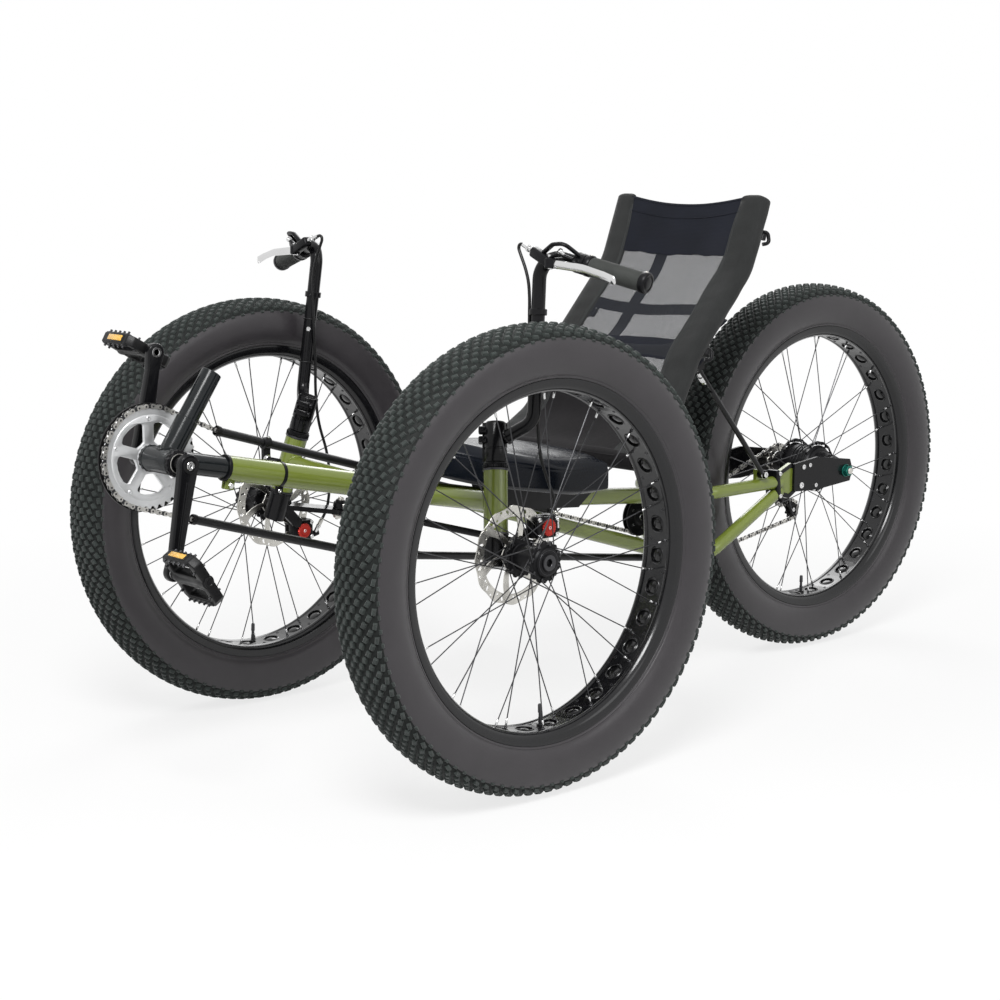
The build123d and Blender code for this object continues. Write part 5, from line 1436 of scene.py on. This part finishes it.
def make_chain():
    piece("chain_look", chain_shape(), "frame", "chain dark_steel", "chain")
    piece("idler_look", idler_shape(), "frame", "plastic chrome", "idler")
    piece("tensioner_look", tensioner_shape(), "frame",
          "anodised chrome", "chain_tensioner")
    piece("chain_tube_lips", tube_ends(), "frame", "plastic")
    piece("chain_clip_bolts", clip_bolt(), "frame", "chrome")


# ------------------------------------------------------------------ rear end
# x, y, z and radius of the end plate's and the dropout's screw heads
REAR_SCREWS = [(108, 892.5, 386.0, 4.2), (108, 894.5, 342.0, 4.2), (104.9, 966.0, 392.0, 5.0),
               (104.9, 985.0, 394.0, 4.2), (104.9, 960.0, 356.0, 6.2), (104.9, 1004.0, 352.0, 4.2)]
STRUT_FOOT, STRUT_HEAD = Vector((108, 843, 390)), Vector((160, 590, 622))


def end_plate_trim():
    """Black surround and clamp band on the green end plate, with the dropout's screws."""
    outline = [(893, 385), (903, 340), (930, 332), (962, 350), (966, 392), (935, 402)]
    inner = [(930.0 + (y - 930.0) * 0.74, 368.0 + (z - 368.0) * 0.74) for y, z in outline]
    edge = facing_x(plate([filleted(outline, 5), filleted(inner, 6)], 2.4, 0.6), 99.6)
    band = brick((27, 11, 58), 3.0, 3).moved(shift(94.5, 892, 364) @ turn(6))
    return join([edge, band] + [bolt(at, (1, 0, 0), r, 3.0, 1) for *at, r in REAR_SCREWS])


def axle_end():
    """Flange nut with its thread end, outside the dropout."""
    nut = lathe([(105.2, 6), (105.2, 12.6), (107.2, 12.6), (107.8, 11.6)], 36)
    nut += lathe([(107.6, 11.4), (115.4, 11.4), (116.6, 10.0), (116.6, 6)], 6)
    thread = lathe([(104, 6), (118.4, 6), (119, 5.2), (119, 0)], 24).painted(1)
    for k in range(5):
        thread += torus(6.0, 0.35, 24, 4).moved(shift(115.5 + k * 0.8, 0, 0)).painted(1)
    return nut + thread


def rear_axle_shape():
    """Axle ends, the spindle, and a spacer on each side of the hub."""
    spindle = lathe([(-105, 6), (105, 6)], 24)
    left = lathe([(81.2, 6), (81.2, 12), (99, 12), (99, 6)], 32)
    right = lathe([(-99, 6), (-99, 12), (-77.4, 12), (-77.4, 6)], 32)
    inside = join([spindle, left, right]).painted(1)
    return (axle_end().both_sides() + inside).moved(WHEELS["rear"])


def stay_lug_bolts():
    """Bolt and washer through each strut's eye, on the lug of the upper stay."""
    washer = lathe([(0, 0), (0, 8.6), (1.0, 8.2), (1.0, 0)], 28)
    return (bolt((112.8, *STRUT_FOOT.yz), (1, 0, 0), 5.4, 4.2)
            + washer.stood((112, *STRUT_FOOT.yz), (1, 0, 0)))


def make_rear_end():
    trim = end_plate_trim()
    for name, place in SIDES:
        piece(f"{name}_end_plate_trim", trim.moved(place), "frame", "black chrome")
    piece("rear_axle_look", rear_axle_shape(), "frame", "teal steel", "rear_axle")
    piece("strut_foot_bolts", stay_lug_bolts().both_sides(), "frame", "chrome")


# ------------------------------------------------------------------ seat
SEAT_CORNERS = [(0, 404, 474), (0, 492, 528), (0, 555, 648), (0, 690, 800), (0, 735, 922)]
SEAT_BENDS = [60, 150, 130]
TUBE_SHIFT = Vector((0, 12.6, -8.8))
TUBE_X, TUBE_R = 179.0, 11.0
MESH_HALF, CLOTH_HALF = 138.0, 146.0   # half widths of the mesh and of the cloths over it
STRAPS = (337.0, 243.0)                # how far up the seat the buckled straps lie
CUSHION_HALF = 176.0                   # half the cushion's length, from y = 0


def evenly(points, count):
    """The same line with evenly spaced points, and how far along each lies."""
    pts = np.array([tuple(p) for p in points])
    far = np.concatenate([[0], np.cumsum(np.linalg.norm(np.diff(pts, axis=0), axis=1))])
    spots = np.linspace(0, far[-1], count)
    return [Vector([float(np.interp(s, far, pts[:, i])) for i in range(3)]) for s in spots], spots


SEAT_LINE, SEAT_S = evenly(rounded(SEAT_CORNERS, SEAT_BENDS, 4.0), 96)
SEAT_LENGTH = float(SEAT_S[-1])


def on_seat(s, x=0.0, out=0.0):
    """The point of the seat back s along its line, x across and out towards the rider."""
    k = min(max(s / SEAT_LENGTH, 0.0), 1.0) * (len(SEAT_LINE) - 1)
    i = min(int(k), len(SEAT_LINE) - 2)
    a, b = SEAT_LINE[i], SEAT_LINE[i + 1]
    p = a.lerp(b, k - i)
    way = (SEAT_LINE[min(i + 2, len(SEAT_LINE) - 1)] - SEAT_LINE[max(i - 1, 0)]).normalized()
    p = p + way * max(0.0, s - SEAT_LENGTH) + way * min(0.0, s)
    return p + Vector((x, 0, 0)) + Vector((0, -way.z, way.y)) * out


def mesh_sag(s, x):
    """How far the stretched cloth lies behind the line between its sleeves; bars hold it up."""
    held = max(0.95 * exp(-((s - 237.5) / 42) ** 2), exp(-(s / 30) ** 2),
               0.6 * exp(-((s - 560) / 60) ** 2))
    across = max(0.0, 1 - (x / 130.0) ** 2) * (1 - held)
    ripple = 0.9 * sin(x * 0.055 + s * 0.021) + 0.6 * sin(s * 0.047 - x * 0.031)
    return across * (9.0 + 3.0 * sin(pi * min(1, s / SEAT_LENGTH)) + ripple)


def on_cloth(s, x, out):
    """The point of the stretched cloth at s and x, lying out from the mesh."""
    return on_seat(s, x, out - mesh_sag(s, x))


def top_edge(x):
    """The upper hem hangs lower between the corners."""
    return SEAT_LENGTH - 3.0 - 15.0 * max(0.0, 1 - (x / 150.0) ** 2)


def cloth_grid(low, high, half, out, nx, ns):
    """A sheet on the seat back between low(x) and high(x), lying out from the mesh."""
    verts = []
    for j in range(ns + 1):
        for i in range(nx + 1):
            x = -half + 2 * half * i / nx
            verts.append(on_cloth(low(x) + (high(x) - low(x)) * j / ns, x, out))
    return Shape(verts, bands(ns + 1, nx + 1, loop=False))


def seat_mesh():
    """The open mesh between the rails, from the foot bar to the upper hem."""
    return cloth_grid(lambda x: 6.0, top_edge, MESH_HALF, 0.0, 46, 96)


def top_panel():
    """Solid cloth over the mesh's top, with a wavy lower edge and a turned hem."""
    def lower(x):
        return 459.0 + 1.2 * sin(x * 0.045) + 1.0 * sin(x * 0.13 + 1)

    def upper(x):
        return top_edge(x) + 2.0
    front = cloth_grid(lower, upper, CLOTH_HALF, 1.2, 48, 16)
    behind = cloth_grid(lower, upper, CLOTH_HALF, -2.2, 48, 16)
    behind.faces = [f[::-1] for f in behind.faces]
    spots = [-CLOTH_HALF + 2 * CLOTH_HALF * i / 60 for i in range(61)]
    hem = pipe([on_cloth(top_edge(x) + 1.5, x, -0.4) for x in spots], 3.0)
    seam = pipe([on_cloth(top_edge(x) - 24, x, 1.6) for x in spots], 0.9, 6)
    return join([front, behind, hem, seam])


def sleeve_section(s):
    """Outline of the left sleeve square to the seat line: x and out pairs, front face first."""
    inner = 127.0 + 10.0 * max(0.0, (s - 430.0) / 140.0) ** 2 + 1.2 * sin(s * 0.045)
    puff = 1.0 + 0.5 * sin(s * 0.06) + 0.4 * sin(s * 0.17 + 1.0)
    points = [(inner, -0.4), (inner + 4, 1.2), (140, 1.4 + puff * 0.7), (154, 1.6 + puff),
              (168, 2.0 + puff), (179, 1.9 + puff * 0.6), (187, -0.5)]
    for a in np.linspace(32, -158, 12):
        t = radians(a)
        r = TUBE_R + 2.0 + 0.35 * sin(s * 0.11 + a * 0.05)
        points.append((TUBE_X + r * cos(t), -15.4 + r * sin(t)))
    points += [(162, -13.0), (152, -6.5 - 0.5 * puff), (140, -3.2), (inner + 2, -2.0)]
    return points


def sleeve():
    """Cloth tube round the side rail, closed over the rail's top end."""
    verts = []
    rings = [(s, 1.0) for s in np.linspace(4, SEAT_LENGTH - 2, 120)]
    rings += [(SEAT_LENGTH - 2 + 9 * sin(a), max(cos(a), 0.02))
              for a in np.linspace(0.25, pi / 2, 6)]
    cx, co = 168.0, -8.0
    for s, scale in rings:
        section = sleeve_section(min(s, SEAT_LENGTH))
        verts += [on_seat(s, cx + (x - cx) * scale, co + (out - co) * scale)
                  for x, out in section]
    n, last = len(section), len(rings) - 1
    faces = bands(len(rings), n)
    faces += [tuple(range(n))[::-1], tuple(range(last * n, (last + 1) * n))]
    stitches = []
    for gap in (5.5, 9.0):
        line = [on_seat(s, sleeve_section(s)[0][0] + gap, 1.9)
                for s in np.linspace(10, SEAT_LENGTH - 8, 100)]
        stitches.append(pipe(line, 0.6, 6).painted(1))
    return join([Shape(verts, faces)] + stitches)


def lower_cloth():
    """Solid cloth below the mesh, wrapped round the seat's foot bar."""
    def upper(x):
        return 186.0 + 2.0 * sin(x * 0.06)
    front = cloth_grid(lambda x: -4.0, upper, CLOTH_HALF, 1.4, 48, 30)
    hem = [on_seat(upper(x), x, 1.0 - mesh_sag(186, x))
           for x in np.linspace(-CLOTH_HALF, CLOTH_HALF, 50)]
    foot = on_seat(0) + TUBE_SHIFT
    profile = [(36, 11.2), (36, 15.4), (38, 16.6), (90, 17.0), (150, 16.8), (186, 17.4),
               (192, 15.4), (194, 10.5), (194, 0)]
    rolls = []
    for side in (1, -1):
        roll = lathe([(side * x, r) for x, r in profile][::side], 36)
        along = roll.verts[:, 0]
        swell = 1 + 0.02 * np.sin(along * 0.09) + 0.015 * np.sin(along * 0.23)
        roll.verts[:, 1:] *= swell[:, None]
        rolls.append(roll.moved(shift(0, foot.y, foot.z)))
    return join([front, pipe(hem, 1.8, 8)] + rolls)


def seat_straps():
    """Straps behind the mesh, a cord beside the lower one, and a strap that runs up it."""
    shapes = []
    for s, width in ((STRAPS[0], 25.0), (STRAPS[1], 42.0), (264.0, 6.0)):
        line = [on_seat(s + 1.5 * sin(x * 0.03), x, -1.6 - mesh_sag(s, x))
                for x in np.linspace(-166, 166, 42)]
        side = on_seat(s + 1) - on_seat(s)
        shapes.append(pipe(line, width / 2, 16, flat=(side, 2.0 / width)))
    line = [on_seat(s, -42 + 1.4 * sin(s * 0.03), -3.4 - mesh_sag(s, -42))
            for s in np.linspace(120, 552, 60)]
    shapes.append(pipe(line, 15.0, 16, flat=((1, 0, 0), 2.0 / 30)))
    return join(shapes)


def buckle(s, side):
    """Ladder buckle and strap end that pull a strap tight behind the side rail."""
    across = (on_seat(s + 1) - on_seat(s)).normalized()
    bars = plate([filleted([(-15, -17), (15, -17), (15, 17), (-15, 17)], 4),
                  filleted([(-10, -12.5), (-2, -12.5), (-2, 12.5), (-10, 12.5)], 2),
                  filleted([(2, -12.5), (10, -12.5), (10, 12.5), (2, 12.5)], 2)], 4.0, 1.2, 2)
    bars = bars.moved(turn(90)).stood(on_seat(s, side * 160, -27), (side, 0, 0), across)
    tail = pipe([on_seat(s, side * 150, -22), on_seat(s, side * 160, -31),
                 on_seat(s - 4, side * 172, -34), on_seat(s - 9, side * 184, -30)],
                12.0, 14, flat=(across, 0.16))
    return bars + tail.painted(1)


def rail_hooks():
    """Cast hooks on the outer side of each rail, where the back's straps and struts fasten."""
    base = lathe([(-5, 0), (-5, 6.0), (5, 6.0), (5, 0)], 20)
    shapes = []
    for s in (505.0, 262.0):
        across = (on_seat(s + 1) - on_seat(s)).normalized()
        hook = rounded([on_seat(s + 10, 176, -29), on_seat(s + 12, 186, -40),
                        on_seat(s - 6, 190, -46), on_seat(s - 12, 184, -36)], [7, 7], 14)
        shapes += [pipe(hook, 3.6), base.stood(on_seat(s, 186, -30), across)]
    return join(shapes)


def strut_adjusters():
    """Threaded barrel with its lock nut near the head of each strut."""
    shape = join([fluted(0, 13, 6.6, 0.3, 14, 0.6),
                  lathe([(-6, 3.2), (-6, 6.4), (-1, 6.4), (-1, 3.2)], 6),
                  lathe([(13, 3.1), (13.2, 4.6), (24, 4.2), (24.2, 3.1)], 20)])
    return shape.stood(STRUT_FOOT.lerp(STRUT_HEAD, 0.87), STRUT_HEAD - STRUT_FOOT)


def cushion_half(y):
    """Half the cushion's width: a narrow nose that widens to the full seat."""
    return np.interp(y, [0, 4, 14, 32, 57, 85, 115, 145, 175, 205, 235, 352],
                     [22, 34, 52, 75, 103, 129, 150, 166, 177, 184, 187, 187])


def cushion_start():
    """Closed form of the cushion before it is blown up: flat foot, upright sides, crowned top.

    Its rows and columns draw together at the edges, which keeps the corners nearly square.
    """
    bm = bmesh.new()
    steps = np.sin(np.linspace(-pi / 2, pi / 2, 29))
    last = len(steps) - 1
    levels = (0.6, 3.0, 10.0, 22.0, 35.0, 43.0, 47.0, 49.5)
    drawn_in = (1.0, 0.0, 0.0, 0.0, 0.0, 0.5, 2.0, 5.0)
    layers = []
    for level, inset in zip(levels, drawn_in):
        rows = []
        for v in steps:
            y = CUSHION_HALF + v * (CUSHION_HALF - inset)
            half = float(cushion_half(y)) - inset
            row = []
            for u in steps:
                crown = 0.0
                if level == levels[-1]:
                    crown = (1 - u ** 4) * (10.0 * (1 - v ** 4) + 7.0 * max(0.0, v) ** 2)
                place = (half * u, y, float(under_cushion(y)) + level + crown)
                row.append(bm.verts.new(world([place])[0]))
            rows.append(row)
        layers.append(rows)
    top, bottom = layers[-1], layers[0]
    for j in range(last):
        for i in range(last):
            bm.faces.new((top[j][i], top[j][i + 1], top[j + 1][i + 1], top[j + 1][i]))
            bm.faces.new((bottom[j][i], bottom[j + 1][i], bottom[j + 1][i + 1], bottom[j][i + 1]))
    for low, high in zip(layers, layers[1:]):
        for j in range(last):
            bm.faces.new((low[j][0], high[j][0], high[j + 1][0], low[j + 1][0]))
            bm.faces.new((low[j][last], low[j + 1][last], high[j + 1][last], high[j][last]))
        for i in range(last):
            bm.faces.new((low[0][i], low[0][i + 1], high[0][i + 1], high[0][i]))
            bm.faces.new((low[-1][i], high[-1][i], high[-1][i + 1], low[-1][i + 1]))
    inner = [v for rows in layers[1:-1] for row in rows[1:-1] for v in row[1:-1]]
    bmesh.ops.delete(bm, geom=inner, context="VERTS")
    mesh = bpy.data.meshes.new("cushion_look")
    bm.to_mesh(mesh)
    bm.free()
    return placed("cushion_look", mesh)


def under_cushion(y):
    """Height of the seat base's top, which the cushion's foot follows."""
    return np.interp(y, [-20, 49, 114, 275, 352], [485, 467, 450, 424, 421])


def apply_modifiers(obj):
    """Replace the mesh by what its modifiers make of it."""
    depsgraph = bpy.context.evaluated_depsgraph_get()
    mesh = bpy.data.meshes.new_from_object(obj.evaluated_get(depsgraph))
    obj.modifiers.clear()
    obj.data = mesh


def subdivide(obj):
    """One step of Catmull-Clark subdivision."""
    smooth = obj.modifiers.new("smooth", "SUBSURF")
    smooth.levels = smooth.render_levels = 1
    apply_modifiers(obj)


def calm(moved, mesh, rounds):
    """Even out the movement of neighbouring points, so that a stiff cover shows no creases."""
    edges = np.array([e.vertices[:] for e in mesh.edges])
    ends = np.concatenate([edges, edges[:, ::-1]])
    count = np.bincount(ends[:, 0], minlength=len(moved))[:, None]
    for _ in range(rounds):
        total = np.stack([np.bincount(ends[:, 0], column[ends[:, 1]], len(moved))
                          for column in moved.T], 1)
        moved = 0.4 * moved + 0.6 * total / count
    return moved


def swell(obj, cap):
    """Blow the pad up like air in a cover, no point moving further than cap mm."""
    frames = 20
    start = np.array([v.co for v in obj.data.vertices])
    cloth = obj.modifiers.new("cloth", "CLOTH")
    cloth.settings.use_pressure = True
    cloth.settings.uniform_pressure_force = 4.0
    cloth.settings.effector_weights.gravity = 0.0
    cloth.point_cache.frame_start, cloth.point_cache.frame_end = 1, frames
    for number in range(1, frames + 1):
        scene.frame_set(number)
    apply_modifiers(obj)
    scene.frame_set(1)
    end = np.array([v.co for v in obj.data.vertices])
    moved = calm(end - start, obj.data, 60)
    moved[:, :2] *= 0.15
    far = np.linalg.norm(moved, axis=1, keepdims=True)
    end = start + moved * np.minimum(1.0, cap * TO_METRES / np.maximum(far, 1e-9))
    obj.data.vertices.foreach_set("co", end.ravel())


def shape_cushion(obj):
    """Thigh hollows and a nose in the top, a seam round the sides, and a flat foot."""
    co = np.array([v.co for v in obj.data.vertices]) * 1000.0
    x, y, z = co[:, 0], co[:, 1] + ORIGIN_Y, co[:, 2]
    level = z - under_cushion(y)
    top = np.clip((level - 26) / 18, 0, 1)
    z = z - top * 12.0 * np.exp(-((np.abs(x) - 128) / 52) ** 2 - ((y - 238) / 84) ** 2)
    z = z + top * 4.0 * np.exp(-(x / 42) ** 2 - ((y - 60) / 90) ** 2)
    edge = np.maximum(np.abs(x) / cushion_half(y), np.abs(y - CUSHION_HALF) / CUSHION_HALF)
    seam = np.exp(-((level - 40) / 1.6) ** 2) * np.clip((edge - 0.9) / 0.05, 0, 1)
    drawn = 1 - 0.006 * seam
    x, y = x * drawn, CUSHION_HALF + (y - CUSHION_HALF) * drawn
    beside = np.clip(0.4 - (np.abs(x) - 58) * 0.1, -4, 1)
    z = np.maximum(z, under_cushion(y) + np.where(np.abs(x) < 58, 0.4, beside))
    obj.data.vertices.foreach_set("co", world(np.stack([x, y, z], 1)).ravel())


def make_cushion():
    obj = cushion_start()
    obj.data.materials.append(M["vinyl"])
    subdivide(obj)
    swell(obj, 9)
    subdivide(obj)
    shape_cushion(obj)
    obj.data.polygons.foreach_set("use_smooth", [True] * len(obj.data.polygons))
    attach(obj, "frame")
    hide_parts("seat_cushion")


def make_seat():
    def cloth(name, shape, materials, replaced=""):
        return piece(name, shape, "frame", materials, replaced, 60)

    mesh = cloth("seat_mesh", seat_mesh(), "mesh", "seat_sling")
    panel = cloth("seat_top_panel", top_panel(), "webbing")
    lower = cloth("seat_lower_cloth", lower_cloth(), "backing")
    tube = sleeve()
    sleeves = [cloth(f"{name}_seat_sleeve", tube.moved(place), "sleeve thread")
               for name, place in SIDES]
    straps = cloth("seat_straps", seat_straps(), "webbing")
    buckles = join([buckle(s, side) for s in STRAPS for side in (1, -1)])
    piece("seat_buckles", buckles, "frame", "plastic webbing")
    piece("seat_rail_hooks", rail_hooks().both_sides(), "frame", "anodised")
    piece("strut_adjusters", strut_adjusters().both_sides(), "frame", "chrome")
    make_cushion()


# ------------------------------------------------------------------ brake cables
def make_cable_ends():
    """The ferrule of each brake cable, in its caliper's stop."""
    ferrule = lathe([(-14, 2.7), (-14, 3.4), (-13, 3.8), (-1, 3.8), (0, 3.4), (0, 2.7)], 20)
    for name, place in SIDES:
        piece(f"{name}_cable_ferrule", ferrule.stood(*CALIPERS[name][2:]).moved(place),
              f"{name}_steering", "steel")


make_frame_details()
make_cranks()
make_chain()
make_rear_end()
make_seat()
make_cable_ends()

# ------------------------------------------------------------------ the carried-over nodes
CARRIED = {
    "green": ["front_boom", "rear_spine", "lower_spine", "left_cross_member", "right_cross_member",
              "left_stays", "right_stays"],
    "black": ["left_knuckle", "right_knuckle", "left_dropout", "right_dropout", "seat_frame",
              "seat_struts"],
    "slate": ["boom_slider"],
    "plastic": ["seat_box", "chain_tube_clip"],
    "tubing": ["upper_chain_tube", "lower_chain_tube"],
    "housing": ["left_cable", "right_cable"],
}
for key, nodes in CARRIED.items():
    for node in nodes:
        materials = frame["nodes"][node].data.materials
        materials.clear()
        materials.append(M[key])
